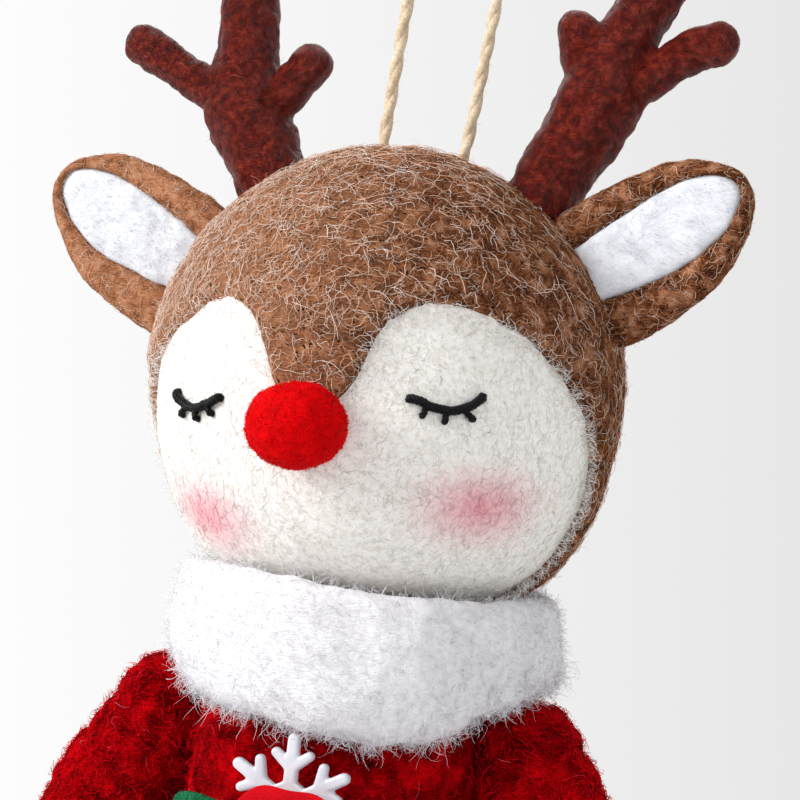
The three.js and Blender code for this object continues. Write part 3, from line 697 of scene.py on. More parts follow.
class Nodes:
    """A node tree, with short calls that add and join its nodes."""

    def __init__(self, tree: NodeTree) -> None:
        """Takes the tree that the nodes go into."""
        self.tree = tree

    def add(self, kind: str, inputs: dict | None = None, **settings: object) -> Node:
        """Adds a node.

        Args:
            kind: The node's type.
            inputs: Values or sockets for its inputs, by name or number.
            settings: The node's own properties.

        Returns:
            The node.
        """
        node = self.tree.nodes.new(kind)
        for word, value in settings.items():
            setattr(node, word, value)
        for key, value in (inputs or {}).items():
            self.feed(node.inputs[key], value)
        return node

    def feed(self, socket: NodeSocket, value: object) -> None:
        """Links a socket to another, or sets its value.

        Args:
            socket: The input.
            value: A socket, a colour, a number or a triple.
        """
        if isinstance(value, NodeSocket):
            self.tree.links.new(value, socket)
        elif isinstance(value, tuple) and len(value) == 3 and socket.type == "RGBA":
            socket.default_value = linear(value)
        else:
            socket.default_value = value

    def ramp(self, value: NodeSocket, stops: Sequence[tuple[float, Colour]]) -> NodeSocket:
        """Turns a number into a colour between stops.

        Args:
            value: The number.
            stops: Places between 0 and 1 and their colours.

        Returns:
            The colour.
        """
        node = self.add("ShaderNodeValToRGB", {"Fac": value})
        elements = node.color_ramp.elements
        while len(elements) < len(stops):
            elements.new(0.5)
        for element, (position, colour) in zip(elements, stops):
            element.position = position
            element.color = linear(colour)
        return node.outputs["Color"]

    def math(self, how: str, first: object, second: object = 0.0) -> NodeSocket:
        """Joins two numbers."""
        return self.add("ShaderNodeMath", {0: first, 1: second}, operation=how).outputs[0]


class Shader(Nodes):
    """A material's nodes."""

    def __init__(self, name: str) -> None:
        """Starts a material with a Principled surface."""
        self.material: Material = bpy.data.materials.new(name)
        self.material.use_nodes = True
        super().__init__(self.material.node_tree)
        self.surface: Node = self.tree.nodes["Principled BSDF"]

    def place(self) -> NodeSocket:
        """Returns the object's own coordinates, in metres."""
        return self.add("ShaderNodeTexCoord").outputs["Object"]

    def attribute(self, name: str) -> NodeSocket:
        """Returns a number that the mesh carries."""
        return self.add("ShaderNodeAttribute", attribute_name=name).outputs["Fac"]

    def grain(self, size: float, detail: float = 4.0, roughness: float = 0.6) -> NodeSocket:
        """Returns noise with lumps of a size in millimetres."""
        inputs = {"Vector": self.place(), "Scale": 1 / (size * MM), "Detail": detail, "Roughness": roughness}
        return self.add("ShaderNodeTexNoise", inputs).outputs["Fac"]

    def turned(self, degrees: Triple, **inputs: object) -> NodeSocket:
        """Returns the object's own coordinates, turned by angles, with the mapping's other inputs."""
        angles = tuple(math.radians(angle) for angle in degrees)
        inputs.update(Vector=self.place(), Rotation=angles)
        return self.add("ShaderNodeMapping", inputs).outputs[0]

    def threads(self, length: float, width: float, turn: Triple) -> NodeSocket:
        """Returns fine streaks of a size in millimetres that run as angles in degrees turn them."""
        scale = (1 / (length * MM), 1 / (width * MM), 1 / (width * MM))
        inputs = {"Vector": self.turned(turn, Scale=scale), "Scale": 1.0, "Detail": 2.0, "Distortion": 0.6}
        return self.add("ShaderNodeTexNoise", inputs).outputs["Fac"]

    def mix(self, share: object, first: object, second: object, how: str = "MIX") -> NodeSocket:
        """Mixes two colours by a share."""
        node = self.add("ShaderNodeMix", data_type="RGBA", blend_type=how)
        self.feed(node.inputs["Factor"], share)
        self.feed(node.inputs["A"], first)
        self.feed(node.inputs["B"], second)
        return node.outputs["Result"]

    def span(self, value: NodeSocket, low: float, high: float, first: float, last: float) -> NodeSocket:
        """Spreads the numbers from low to high over first to last, smoothly."""
        inputs = {"Value": value, "From Min": low, "From Max": high, "To Min": first, "To Max": last}
        node = self.add("ShaderNodeMapRange", inputs, interpolation_type="SMOOTHSTEP")
        return node.outputs["Result"]

    def finish(
        self, colour: object, roughness: object, height: NodeSocket | None = None, depth: float = 0.1,
        **extras: object,
    ) -> Material:  # fmt: skip
        """Feeds the surface.

        Args:
            colour: The base colour, or the socket that gives it.
            roughness: The roughness, or its socket.
            height: What the bump follows.
            depth: The bump's depth in millimetres.
            extras: Other inputs of the surface, with _ for a space in their names.

        Returns:
            The material.
        """
        self.feed(self.surface.inputs["Base Color"], colour)
        self.feed(self.surface.inputs["Roughness"], roughness)
        if height is not None:
            bump = self.add("ShaderNodeBump", {"Height": height, "Distance": depth * MM})
            self.feed(self.surface.inputs["Normal"], bump.outputs["Normal"])
        for word, value in extras.items():
            self.feed(self.surface.inputs[word.replace("_", " ")], value)
        return self.material


@dataclass(frozen=True)
class Blush:
    """A soft patch of colour rubbed into wool."""

    azimuth_deg: float
    height: float
    half_width: float
    half_height: float


@dataclass(frozen=True)
class Felt:
    """Matted wool: uneven colour, pressed fibres and a soft surface, and where asked painted light that
    makes one side paler.
    """

    name: str
    dark: Colour
    middle: Colour
    light: Colour
    lump: float = 1.6
    thread_width: float = 0.14
    contrast: float = 0.5
    specks: float = 0.0
    pits: float = 0.0
    depth: float = 0.12
    specular: float = 0.08
    roughness: float = 0.9
    fade: float = 0.0  # painted light: how much of the light colour is mixed in at the reindeer's right, the lamp side
    fade_span: Pair = (-24.0, 17.0)  # where the painted light fades out, along X, in millimetres from the head's centre
    blushes: tuple[Blush, ...] = ()

    def build(self) -> Material:
        """Returns the material."""
        shader = Shader(self.name)
        lumps = shader.grain(self.lump, 6.0)
        colour = shader.ramp(lumps, [(0.32, self.dark), (0.5, self.middle), (0.7, self.light)])
        height = lumps
        for turn in ((0, 20, 35), (80, 65, -50), (10, -40, 100)):
            fine = shader.threads(2.2, self.thread_width, turn)
            mask = shader.span(fine, 0.55, 0.72, 0.0, self.contrast)
            colour = shader.mix(mask, colour, self.light)
            deep = shader.span(fine, 0.42, 0.26, 0.0, self.contrast)
            colour = shader.mix(deep, colour, self.dark)
            height = shader.math("ADD", height, fine)
        # painted light: the light colour is mixed in towards the reindeer's right, the lamp side
        if self.fade:
            across = shader.add("ShaderNodeSeparateXYZ", {0: shader.place()}).outputs["X"]
            right, left = ((place + ORIGIN[0]) * MM for place in self.fade_span)
            colour = shader.mix(shader.span(across, right, left, self.fade, 0.0), colour, self.light)
        if self.specks:
            pits = shader.span(shader.grain(0.42, 2.0, 0.4), 0.6, 0.7, 0.0, self.specks)
            colour = shader.mix(pits, colour, self.dark)
        if self.pits:
            holes = shader.span(shader.grain(0.3, 1.0, 0.3), 0.66, 0.72, 0.0, self.pits)
            colour = shader.mix(holes, colour, PIT_SHADE)
        colour = add_blush(shader, colour, self.blushes)
        extras = {"Specular_IOR_Level": self.specular}
        return shader.finish(colour, self.roughness, height, self.depth, **extras)



BLUSH_PINK = (240, 146, 166)
PIT_SHADE = (150, 128, 108)


def add_blush(shader: Shader, colour: NodeSocket, blushes: Sequence[Blush]) -> NodeSocket:
    """Rubs patches of blush into a colour, on the head.

    Args:
        shader: The material.
        colour: The colour without blush.
        blushes: The patches.

    Returns:
        The colour with the patches in it.
    """
    for blush in blushes:
        turn = math.radians(blush.azimuth_deg)
        ball = HeadForm()
        centre = ball.at(ball.face_radius, blush.azimuth_deg, blush.height / ball.face_radius)
        middle = settled(from_head(np.array([centre])))[0]
        turned = shader.add(
            "ShaderNodeMapping",
            {
                "Vector": shader.place(),
                "Location": tuple(middle),
                "Rotation": (0.0, 0.0, turn),
                "Scale": (blush.half_width * MM, blush.half_width * MM, blush.half_height * MM),
            },
            vector_type="TEXTURE",
        )
        away = shader.add("ShaderNodeVectorMath", {0: turned.outputs[0]}, operation="LENGTH")
        ragged = shader.math("MULTIPLY", shader.grain(0.9, 5.0, 0.7), 0.5)
        reach = shader.math("ADD", away.outputs["Value"], ragged)
        mask = shader.span(reach, 0.1, 1.5, 0.8, 0.0)
        colour = shader.mix(mask, colour, BLUSH_PINK, "MULTIPLY")
    return colour


@dataclass(frozen=True)
class FibreFinish:
    """Loose fibres, each with its own tone, paler or darker towards the tip, with painted shade at the root.
    """

    name: str
    tones: tuple[tuple[float, Colour], ...]
    root_shade: float = 0.75
    roughness: float = 0.7
    specular: float = 0.1
    blushes: tuple[Blush, ...] = ()

    def build(self) -> Material:
        """Returns the material."""
        shader = Shader(self.name)
        colour = shader.ramp(shader.attribute("tone"), self.tones)
        # painted shade: each fibre is mixed darker towards its root, where the pile shades it
        shade = shader.span(shader.attribute("along"), 0.0, 0.6, 1.0 - self.root_shade, 0.0)
        colour = shader.mix(shade, colour, (0, 0, 0))
        colour = add_blush(shader, colour, self.blushes)
        return shader.finish(colour, self.roughness, Specular_IOR_Level=self.specular)


@dataclass(frozen=True)
class YarnFinish:
    """Spun fibre: streaks along it."""

    name: str
    dark: Colour
    light: Colour
    roughness: float = 0.8
    grain: float = 0.35

    def build(self) -> Material:
        """Returns the material."""
        shader = Shader(self.name)
        fine = shader.grain(self.grain, 6.0, 0.7)
        broad = shader.grain(self.grain * 9, 3.0)
        value = shader.math("ADD", shader.math("MULTIPLY", fine, 0.6), shader.math("MULTIPLY", broad, 0.4))
        colour = shader.ramp(value, [(0.36, self.dark), (0.64, self.light)])
        return shader.finish(colour, self.roughness, fine, 0.06, Specular_IOR_Level=0.12)


@dataclass(frozen=True)
class PlasticFinish:
    """Moulded plastic with a satin surface."""

    name: str
    colour: Colour
    shade: Colour

    def build(self) -> Material:
        """Returns the material."""
        shader = Shader(self.name)
        cloud = shader.grain(2.4, 3.0)
        colour = shader.ramp(cloud, [(0.35, self.shade), (0.6, self.colour)])
        roughness = shader.span(shader.grain(0.5, 4.0), 0.3, 0.7, 0.26, 0.4)
        return shader.finish(
            colour, roughness, shader.grain(0.25, 3.0), 0.01, Coat_Weight=0.25, Coat_Roughness=0.2
        )


@dataclass(frozen=True)
class ClothFinish:
    """Close-woven ribbon: fine crossing threads."""

    name: str
    dark: Colour
    light: Colour
    thread: float = 0.22

    def build(self) -> Material:
        """Returns the material."""
        shader = Shader(self.name)
        scale = 1 / (self.thread * MM) / 3
        waves = [
            shader.add(
                "ShaderNodeTexWave", {"Vector": shader.turned(turn), "Scale": scale, "Distortion": 0.8}
            ).outputs["Fac"]
            for turn in ((0.0, 0.0, 0.0), (0.0, 90.0, 0.0))
        ]
        height = shader.math("ADD", *waves)
        colour = shader.ramp(shader.math("MULTIPLY", height, 0.5), [(0.1, self.dark), (0.7, self.light)])
        return shader.finish(colour, 0.75, height, 0.04, Specular_IOR_Level=0.08)


@dataclass(frozen=True)
class WoodFinish:
    """Bare turned wood with its grain along the peg."""

    name: str
    dark: Colour
    light: Colour

    def build(self) -> Material:
        """Returns the material."""
        shader = Shader(self.name)
        fine = shader.threads(9.0, 0.3, (0.0, 90.0, 0.0))
        colour = shader.ramp(fine, [(0.35, self.dark), (0.65, self.light)])
        return shader.finish(colour, 0.65, fine, 0.05)


@dataclass(frozen=True)
class WireFinish:
    """Drawn steel wire."""

    name: str
    colour: Colour

    def build(self) -> Material:
        """Returns the material."""
        shader = Shader(self.name)
        drawn = shader.threads(4.0, 0.06, (0.0, 90.0, 0.0))
        roughness = shader.span(drawn, 0.3, 0.7, 0.25, 0.45)
        return shader.finish(self.colour, roughness, drawn, 0.01, Metallic=1.0)


CHEEKS = (Blush(46.9, -16.6, 9.6, 5.6), Blush(-40.0, -18.9, 9.2, 5.6))

# fmt: off
FACE_FELT = Felt(
    "face_felt_wool", (220, 214, 204), (246, 242, 236), (253, 251, 248),
    lump=0.7, thread_width=0.09, contrast=0.4, pits=0.25, blushes=CHEEKS, depth=0.03,
)
FACE_FUZZ = FibreFinish(
    "face_fuzz", (
        (0.0, (150, 120, 92)), (0.003, (176, 154, 130)), (0.006, (242, 239, 232)),
        (0.6, (249, 247, 243)), (1.0, (254, 253, 251)),
    ), root_shade=0.97, blushes=CHEEKS,
)
# painted light: the hood's felt turns paler towards the reindeer's right, where the lamp stands
HOOD_FELT = Felt(
    "hood_felt_wool", (36, 14, 6), (114, 58, 28), (206, 146, 108),
    lump=2.0, specks=0.95, depth=0.3, fade=0.7,
)
LIMB_FELT = replace(HOOD_FELT, name="limb_felt_wool", fade=0.0)
# painted light: a paler copy of the brown felt for the reindeer's right ear, which faces the lamp
LIT_EAR_FELT = Felt("ear_felt_wool", (110, 64, 38), (176, 116, 80), (208, 154, 120), specks=0.4, depth=0.15)
HOOD_FIBRES = FibreFinish(
    "hood_fibres", (
        (0.0, (84, 40, 16)), (0.25, (150, 84, 40)), (0.45, (196, 128, 76)),
        (0.55, (222, 178, 146)), (1.0, (250, 232, 220)),
    ), root_shade=0.9,
)
LINING_FELT = Felt(
    "ear_lining_wool", (204, 206, 212), (220, 222, 227), (233, 234, 239),
    lump=2.4, contrast=0.12, depth=0.02,
)
LINING_FUZZ = FibreFinish(
    "lining_fuzz", ((0.0, (222, 223, 228)), (0.5, (233, 234, 238)), (1.0, (243, 244, 247))), root_shade=1.0
)
FUR_BASE = Felt(
    "fur_backing", (222, 218, 222), (240, 238, 241), (250, 249, 251), lump=1.0, contrast=0.3
)
WHITE_FUZZ = FibreFinish(
    "white_fuzz", ((0.0, (226, 225, 230)), (0.5, (242, 241, 245)), (1.0, (252, 252, 254))), root_shade=0.95
)
NOSE_FELT = Felt(
    "nose_wool", (176, 0, 2), (204, 0, 4), (226, 3, 8), depth=0.08, roughness=0.7, specular=0.04
)
NOSE_FUZZ = FibreFinish(
    "nose_fuzz", ((0.0, (206, 0, 4)), (0.5, (238, 2, 10)), (1.0, (252, 18, 24))),
    root_shade=0.97, specular=0.03,
)
COAT_FLEECE = Felt(
    "coat_fleece", (26, 0, 1), (146, 0, 6), (232, 3, 15), lump=3.0, depth=0.3, specular=0.02
)
COAT_FUZZ = FibreFinish(
    "coat_fuzz", (
        (0.0, (104, 0, 5)), (0.5, (226, 0, 13)), (0.955, (255, 14, 34)),
        (0.975, (244, 90, 112)), (1.0, (250, 150, 164)),
    ), specular=0.02,
)
ANTLER_FELT = Felt(
    "antler_wool", (62, 7, 3), (130, 28, 16), (190, 70, 46), lump=1.0, thread_width=0.1,
    contrast=0.3, specks=0.35, depth=0.9, roughness=0.36, specular=0.22,
)
ANTLER_FUZZ = FibreFinish(
    "antler_fuzz", ((0.0, (70, 16, 10)), (0.8, (140, 50, 36)), (1.0, (196, 120, 102))),
    roughness=0.5, specular=0.12,
)
HOOF_FELT = Felt("hoof_wool", (34, 20, 14), (66, 40, 28), (98, 64, 46), depth=0.18)
HOOF_FUZZ = FibreFinish("hoof_fuzz", ((0.0, (60, 36, 24)), (0.7, (96, 64, 46)), (1.0, (150, 116, 92))))
STUFFING = Felt("wool_stuffing", (196, 186, 166), (226, 218, 202), (242, 236, 224))
EYE_THREAD = YarnFinish("eye_thread", (3, 3, 4), (18, 16, 20), 0.34, 0.2)
BLACK_HAIR = FibreFinish("black_hair", ((0.0, (14, 12, 15)), (1.0, (48, 42, 48))))
TWINE = YarnFinish("natural_twine", (186, 160, 126), (240, 224, 198))
TWINE_HAIR = FibreFinish("twine_hair", ((0.0, (214, 194, 160)), (1.0, (246, 236, 214))))
SEWING_THREAD = YarnFinish("sewing_thread", (92, 6, 16), (140, 18, 30), 0.6, 0.2)
FLAKE_PLASTIC = PlasticFinish("flake_plastic", (214, 213, 219), (200, 201, 211))
RIBBON = ClothFinish("rosette_ribbon", (150, 0, 8), (228, 8, 24))
LEAF_FELT = Felt("leaf_felt", (6, 58, 34), (18, 94, 58), (48, 130, 88), lump=0.8)
LEAF_FUZZ = FibreFinish("leaf_fuzz", ((0.0, (24, 100, 54)), (1.0, (96, 168, 120))))
PEG_WOOD = WoodFinish("peg_wood", (172, 128, 80), (212, 172, 120))
STEEL_WIRE = WireFinish("steel_wire", (176, 178, 182))
# fmt: on

Finish = Felt | FibreFinish | YarnFinish | PlasticFinish | ClothFinish | WoodFinish | WireFinish
_made: dict[str, Material] = {}


def material_of(finish: Finish) -> Material:
    """Returns a finish's material, made the first time that it is asked for."""
    if finish.name not in _made:
        _made[finish.name] = finish.build()
    return _made[finish.name]


def dress(obj: Object, body: str, slot: str, finish: Finish, *nodes: str) -> Object:
    """Gives a piece its finish and its body.

    Args:
        obj: The piece.
        body: The body that it moves with.
        slot: The record's material slot; not used.
        finish: Its finish.
        nodes: The frame's nodes that it stands for.

    Returns:
        The piece.
    """
    obj.data.materials.clear()
    obj.data.materials.append(material_of(finish))
    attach(obj, body)
    if nodes:
        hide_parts(*nodes)
    log.info("%s: %d vertices, on %s", obj.name, len(obj.data.vertices), body)
    return obj


def cover(
    surface: Surface, rng: Random, body: str, slot: str, finish: FibreFinish,
    piles: dict[str, Pile], keep: Keep | None = None,
) -> None:  # fmt: skip
    """Grows piles on a surface, one after another, and gives their pieces a finish and a body.

    Args:
        surface: What they grow on.
        rng: Source of random numbers.
        body: The body that they ride on.
        slot: The record's material slot.
        finish: The fibres' finish.
        piles: The piles by the names of their pieces.
        keep: Chance of a root at a place.
    """
    for name, pile in piles.items():
        for piece in pile.grow(surface, rng, keep).pieces(name):
            dress(piece, body, slot, finish)


# Head


def bell(values: Array, middle: float, width: float) -> Array:
    """Returns a smooth hump of height 1 round a value."""
    return np.exp(-(((values - middle) / width) ** 2))


@dataclass(frozen=True)
class HeadForm:
    """The ball that the face and the hood follow, in the head's frame."""

    radius: float = 28.85
    face_radius: float = 27.7
    inside_radius: float = 26.1
    crown: float = 0.98
    chin: float = 1.03
    crown_power: float = 1.9
    chin_power: float = 2.6
    depth: float = 0.97
    underside: float = -0.98  # how low the hood reaches behind the face
    right_narrowing_deg: float = 8.0  # how much nearer the nose the face's upper right edge is
    edge: Pairs = (
        (0, -0.26), (6, -0.2), (10.3, -0.12), (13.6, 0.02), (17.8, 0.14), (25, 0.21), (34, 0.228),
        (47, 0.175), (60, 0.075), (73.5, -0.09), (82.5, -0.27), (87, -0.45), (91, -0.66), (96.5, -0.9),
    )  # fmt: skip

    def curve(self, value: Array) -> tuple[Array, Array]:
        """Returns the reach and the power of the head's curve, above the middle or below it."""
        reach = np.where(value > 0, self.crown, self.chin)
        return reach, np.where(value > 0, self.crown_power, self.chin_power)

    def width(self, height: Array) -> Array:
        """Returns the head's half width at heights, all as shares of its radius."""
        reach, power = self.curve(height)
        return np.maximum(1 - np.abs(height / reach) ** power, 0) ** (1 / power)

    def at(self, radius: float, azimuth_deg: float, height: float) -> Array:
        """Returns a point on the head from its azimuth off the nose and its height share."""
        turn = math.radians(azimuth_deg)
        width = radius * float(self.width(np.array(height)))
        return np.array((width * math.sin(turn), -width * self.depth * math.cos(turn), radius * height))

    def edge_line(self) -> Array:
        """Returns the face's edge, azimuth in degrees and height share, from right to left."""
        half = catmull(np.array(self.edge, float), 10)
        line = np.vstack([half[:0:-1] * (-1, 1), half])
        line[:, 0] += PEAK_TURN_DEG * (1 - np.abs(line[:, 0]) / half[-1, 0])
        line[:, 0] += self.right_narrowing_deg * bell(line[:, 0], -52.0, 24.0)
        return line

    def edge_height(self, azimuth_deg: Array) -> Array:
        """Returns how high the face's edge is at azimuths, and the underside behind it."""
        line = self.edge_line()
        last = line[-1]
        reach = np.abs(azimuth_deg)
        inside = np.interp(azimuth_deg, line[:, 0], line[:, 1])
        behind = np.interp(reach, [last[0], last[0] + 3], [last[1], self.underside])
        return np.where(reach <= last[0], inside, behind)

    def ball(self, radius: Array, azimuth_deg: Array, height: Array) -> Array:
        """Returns points on the head for arrays of radius, azimuth and height share."""
        turn = np.radians(azimuth_deg)
        width = radius * self.width(height)
        return np.stack(
            [width * np.sin(turn), -width * self.depth * np.cos(turn), radius * height], axis=-1
        )

    def steps(self, low: Array, high: Array, shares: Array) -> Array:
        """Returns height shares between two heights, spread evenly along the head's surface.

        Args:
            low: The lower heights.
            high: The upper heights.
            shares: Shares of the way up along the surface.

        Returns:
            The height shares.
        """

        def angle(height: Array) -> Array:
            """Returns how far round the head's curve heights lie."""
            reach, power = self.curve(height)
            inner = np.clip(np.abs(height) / reach, 0, 1) ** (power / 2)
            return np.sign(height) * np.arcsin(inner)

        turn = angle(low) + (angle(high) - angle(low)) * shares[:, None]
        reach, power = self.curve(turn)
        return np.sign(turn) * reach * np.abs(np.sin(turn)) ** (2 / power)

    def layer(self, radius: float, azimuth_deg: Array, height: Array) -> Array:
        """Returns rows of points at one radius, from columns' azimuths and rows of height shares."""
        azimuth_deg = np.broadcast_to(azimuth_deg, height.shape)
        return self.ball(np.full(height.shape, radius), azimuth_deg, height)


@dataclass
class Head:
    """Face, hood, nose and eyes on the head's ball."""

    form: HeadForm = field(default_factory=HeadForm)
    lip: float = 1.7  # width over which the hood's edge rolls in
    columns: int = 250
    hood_rows: int = 84
    face_rows: int = 56
    face_columns: int = 190
    face_reach_deg: float = 106.0
    face_under: float = 0.075  # how far it runs on under the hood, of its radius
    hood_end: float = -25.5  # the collar hides what is lower in front
    face_end: float = -27.0
    nose_height: float = -0.32
    nose_size: Triple = (12.8, 10.6, 11.2)
    nose_inset: Triple = (0.45, 0.4, 0.6)  # room for its fuzz
    nose_sink: float = 1.7
    left_swell: float = 0.55  # how much fuller the hood is high at its left
    thread: float = 1.15
    lash_size: float = 0.72  # of the thread
    stitch_depth: float = 0.9
    waver: float = 0.16
    right_eye_drop: float = 0.024  # how much lower it sits, of the head's radius
    edge_fuzz: float = 2.2  # how far in from its edge the face has longer fuzz
    right_edge_fuzz: float = 0.3  # how much of that grows at the right
    lid: Pairs = (
        (25.2, -0.176), (29, -0.198), (33.6, -0.213), (38.4, -0.197), (42.4, -0.15),
    )  # fmt: skip
    lashes: tuple[tuple[Pair, Pair], ...] = (
        ((28.6, -0.203), (28, -0.237)),
        ((33.6, -0.222), (33.6, -0.257)),
        ((38, -0.207), (40.3, -0.239)),
    )

    def build(self) -> None:
        """Builds every piece of the head but ears and antlers."""
        rng = np.random.default_rng(11)
        hood = self.hood()
        face = self.face()
        self.hood_fibres(Surface(hood), rng)
        self.face_fuzz(Surface(face), rng)
        self.nose(rng)
        for side in Side:
            self.eye(side, rng)

    def edge_distance(self, points: Array) -> Array:
        """Returns how far points in the head's frame are from the face's edge, in millimetres."""
        line = self.form.edge_line()
        places = self.form.ball(np.full(len(line), self.form.radius), line[:, 0], line[:, 1])
        tree = tree_of(places)
        return np.array([tree.find(Vector(point))[2] for point in points])

    def azimuths(self) -> Array:
        """Returns the columns' azimuths, closer together near the nose."""
        even = np.linspace(-1, 1, self.columns, endpoint=False)
        return 180 * (0.62 * even + 0.38 * even**3)

    def hood(self) -> Object:
        """Models the hood: a shell whose edge rolls in to the face.

        Returns:
            The dressed hood.
        """
        form = self.form
        azimuth = self.azimuths()
        low = form.edge_height(azimuth)
        top = np.full(len(azimuth), form.crown * 0.9995)
        height = form.steps(low, top, np.linspace(0, 1, self.hood_rows) ** 1.5)
        full = form.layer(form.radius, azimuth, height).reshape(-1, 3)
        away = self.edge_distance(full).reshape(height.shape)
        ragged = 1 + 0.25 * rough(full, 2.4, 3).reshape(height.shape)
        inner = np.clip(1 - away / (self.lip * ragged), 0, 1)
        drop = form.radius - form.face_radius + 0.5
        radius = form.radius - drop * (1 - np.sqrt(1 - inner**2))
        outer = form.ball(radius, np.broadcast_to(azimuth, height.shape), height)
        inside = form.layer(form.inside_radius, azimuth, form.steps(low, top, np.linspace(1, 0, 10)))
        obj = ringed("hood", from_head(np.concatenate([inside, outer[:1] * 0.985, outer])))
        push(obj, self.hood_swell)
        return dress(obj, "root", "hood_wool", HOOD_FELT, "hood_felt")

    def hood_swell(self, points: Array) -> Array:
        """Returns how far the hood stands out: its lumps, and fuller high at its left."""
        lumps = 0.28 * rough(points, 3.4, 1) + 0.12 * rough(points, 1.1, 5)
        left = np.clip((points[:, 0] - 19) / 5, 0, 1)
        return lumps + self.left_swell * left * np.clip((points[:, 2] + 9) / 10, 0, 1)

    def face(self) -> Object:
        """Models the face: a shell that runs on under the hood's edge.

        Returns:
            The dressed face.
        """
        form = self.form
        azimuth = np.linspace(-self.face_reach_deg, self.face_reach_deg, self.face_columns)
        high = np.minimum(form.edge_height(azimuth) + self.face_under, 0.6)
        low = np.full(len(azimuth), -0.97)
        outer, inside = (
            form.layer(radius, azimuth, form.steps(low, high, np.linspace(0, 1, rows)))
            for radius, rows in ((form.face_radius, self.face_rows), (form.inside_radius + 0.1, 8))
        )
        obj = ringed("face", from_head(np.concatenate([outer, inside[::-1]]).transpose(1, 0, 2)))
        push(obj, lambda p: 0.16 * rough(p, 6.5, 2) + 0.025 * rough(p, 1.3, 7))
        return dress(obj, "root", "face_wool", FACE_FELT, "face_felt")

    def hood_fibres(self, surface: Surface, rng: Random) -> None:
        """Mats fine curly fibres over the hood.

        Args:
            surface: The hood's surface.
            rng: Source of random numbers.
        """
        centre_radius = self.form.radius - 1.6

        def outside(points: Array) -> Array:
            """Tells where the hood shows."""
            reach = np.linalg.norm(into_head(points), axis=1)
            open_air = (points[:, 2] > self.hood_end) | (points[:, 1] > 12)
            return (reach > centre_radius) & open_air

        def crown(points: Array) -> Array:
            """Returns more in front and at the reindeer's right: as the light fibres lie, and also as
            painted light, since more pale fibres make the hood paler on the lamp side.
            """
            front = np.clip(0.75 - points[:, 1] / 30, 0.25, 1)
            # painted light in part: more pale fibres towards the reindeer's right, the lamp side
            left = np.clip(0.5 - points[:, 0] / 44, 0.1, 1)
            return outside(points) * front * left

        curly = Lying(
            3800, (2.0, 6.0), 0.037, lift=(0.1, 0.5), bend=0.35, wave=2.2, drift=(0.5, 0, -0.7), knots=8,
            tones=(0.58, 1.0),
        )  # fmt: skip
        tan = Lying(
            1700, (1.6, 4.5), 0.03, lift=(0.05, 0.45), wave=2.0, drift=(0.5, 0, -0.7), knots=7,
            tones=(0.34, 0.62),
        )  # fmt: skip
        short = Lying(
            4800, (1.0, 2.8), 0.03, lift=(0.03, 0.3), wave=1.8, drift=(0.8, 0, -0.9), knots=5,
            tones=(0.35, 0.9),
        )  # fmt: skip
        matted = Lying(3800, (0.8, 2.6), 0.042, lift=(0.01, 0.14), wave=1.1, tones=(0.0, 0.48), knots=4)
        stray = Standing(700, (0.8, 2.4), 0.024, stand=0.6, curl=0.9, tones=(0.5, 1.0), knots=6)
        others = {"hood_tan": tan, "hood_short": short, "hood_matted": matted, "hood_stray": stray}
        for piles, keep in (({"hood_curly": curly}, crown), (others, outside)):
            cover(surface, rng, "root", "hood_wool", HOOD_FIBRES, piles, keep)

    def face_fuzz(self, surface: Surface, rng: Random) -> None:
        """Lays short pale fibres down the face, a few of them brown.

        Args:
            surface: The face's surface.
            rng: Source of random numbers.
        """
        form = self.form

        def seen(points: Array) -> Array:
            """Tells where the face shows below the hood's edge."""
            local = into_head(points)
            azimuth = np.degrees(np.arctan2(local[:, 0], -local[:, 1] / form.depth))
            below = local[:, 2] / form.face_radius < form.edge_height(azimuth) - 0.01
            outer = np.linalg.norm(local, axis=1) > form.inside_radius + 0.7
            return below & outer & (points[:, 2] > self.face_end)

        down = Lying(
            6000, (0.9, 2.8), 0.03, lift=(0.0, 0.07), bend=0.3, wave=1.1, drift=(0.2, 0, -0.9), knots=4
        )
        fuzz = Standing(5200, (0.25, 0.8), 0.024, stand=0.5, lay=(0, 0, -1), curl=0.9, knots=3)
        edge = Lying(900, (1.2, 3.0), 0.026, lift=(0.9, 1.7), bend=0.4, wave=1.6, knots=5)

        def rim(points: Array) -> Array:
            """Returns the share of longer fuzz near the face's edge."""
            near = self.edge_distance(into_head(points)) < self.edge_fuzz
            share = np.where(points[:, 0] > -4, 1.0, self.right_edge_fuzz)
            return near * seen(points) * share

        for piles, keep in (({"face_fibres": down, "face_fuzz": fuzz}, seen), ({"face_edge": edge}, rim)):
            cover(surface, rng, "root", "face_wool", FACE_FUZZ, piles, keep)

    def nose(self, rng: Random) -> None:
        """Models the pompom nose with its dense short fuzz.

        Args:
            rng: Source of random numbers.
        """
        form = self.form
        surface = form.at(form.face_radius, FACE_TURN_DEG, self.nose_height)
        deselect_all()
        bpy.ops.mesh.primitive_ico_sphere_add(subdivisions=5, radius=1)
        ball = take_primitive("nose")
        ball.scale = np.array(self.nose_size) / 2 - self.nose_inset
        ball.location = surface + (0, self.nose_sink - self.nose_size[1] / 2, 0)
        settle(ball, on_head=True)
        ball.data.shade_smooth()
        push(ball, lambda p: 0.22 * rough(p, 2.2, 4) + 0.1 * rough(p, 0.9, 9))
        dress(ball, "root", "pompom", NOSE_FELT, "nose_pompom")
        fuzz = Standing(5000, (0.25, 0.55), 0.052, stand=0.42, spread=0.6, curl=0.8, knots=3)
        cover(Surface(ball), rng, "root", "pompom", NOSE_FUZZ, {"nose_fuzz": fuzz})

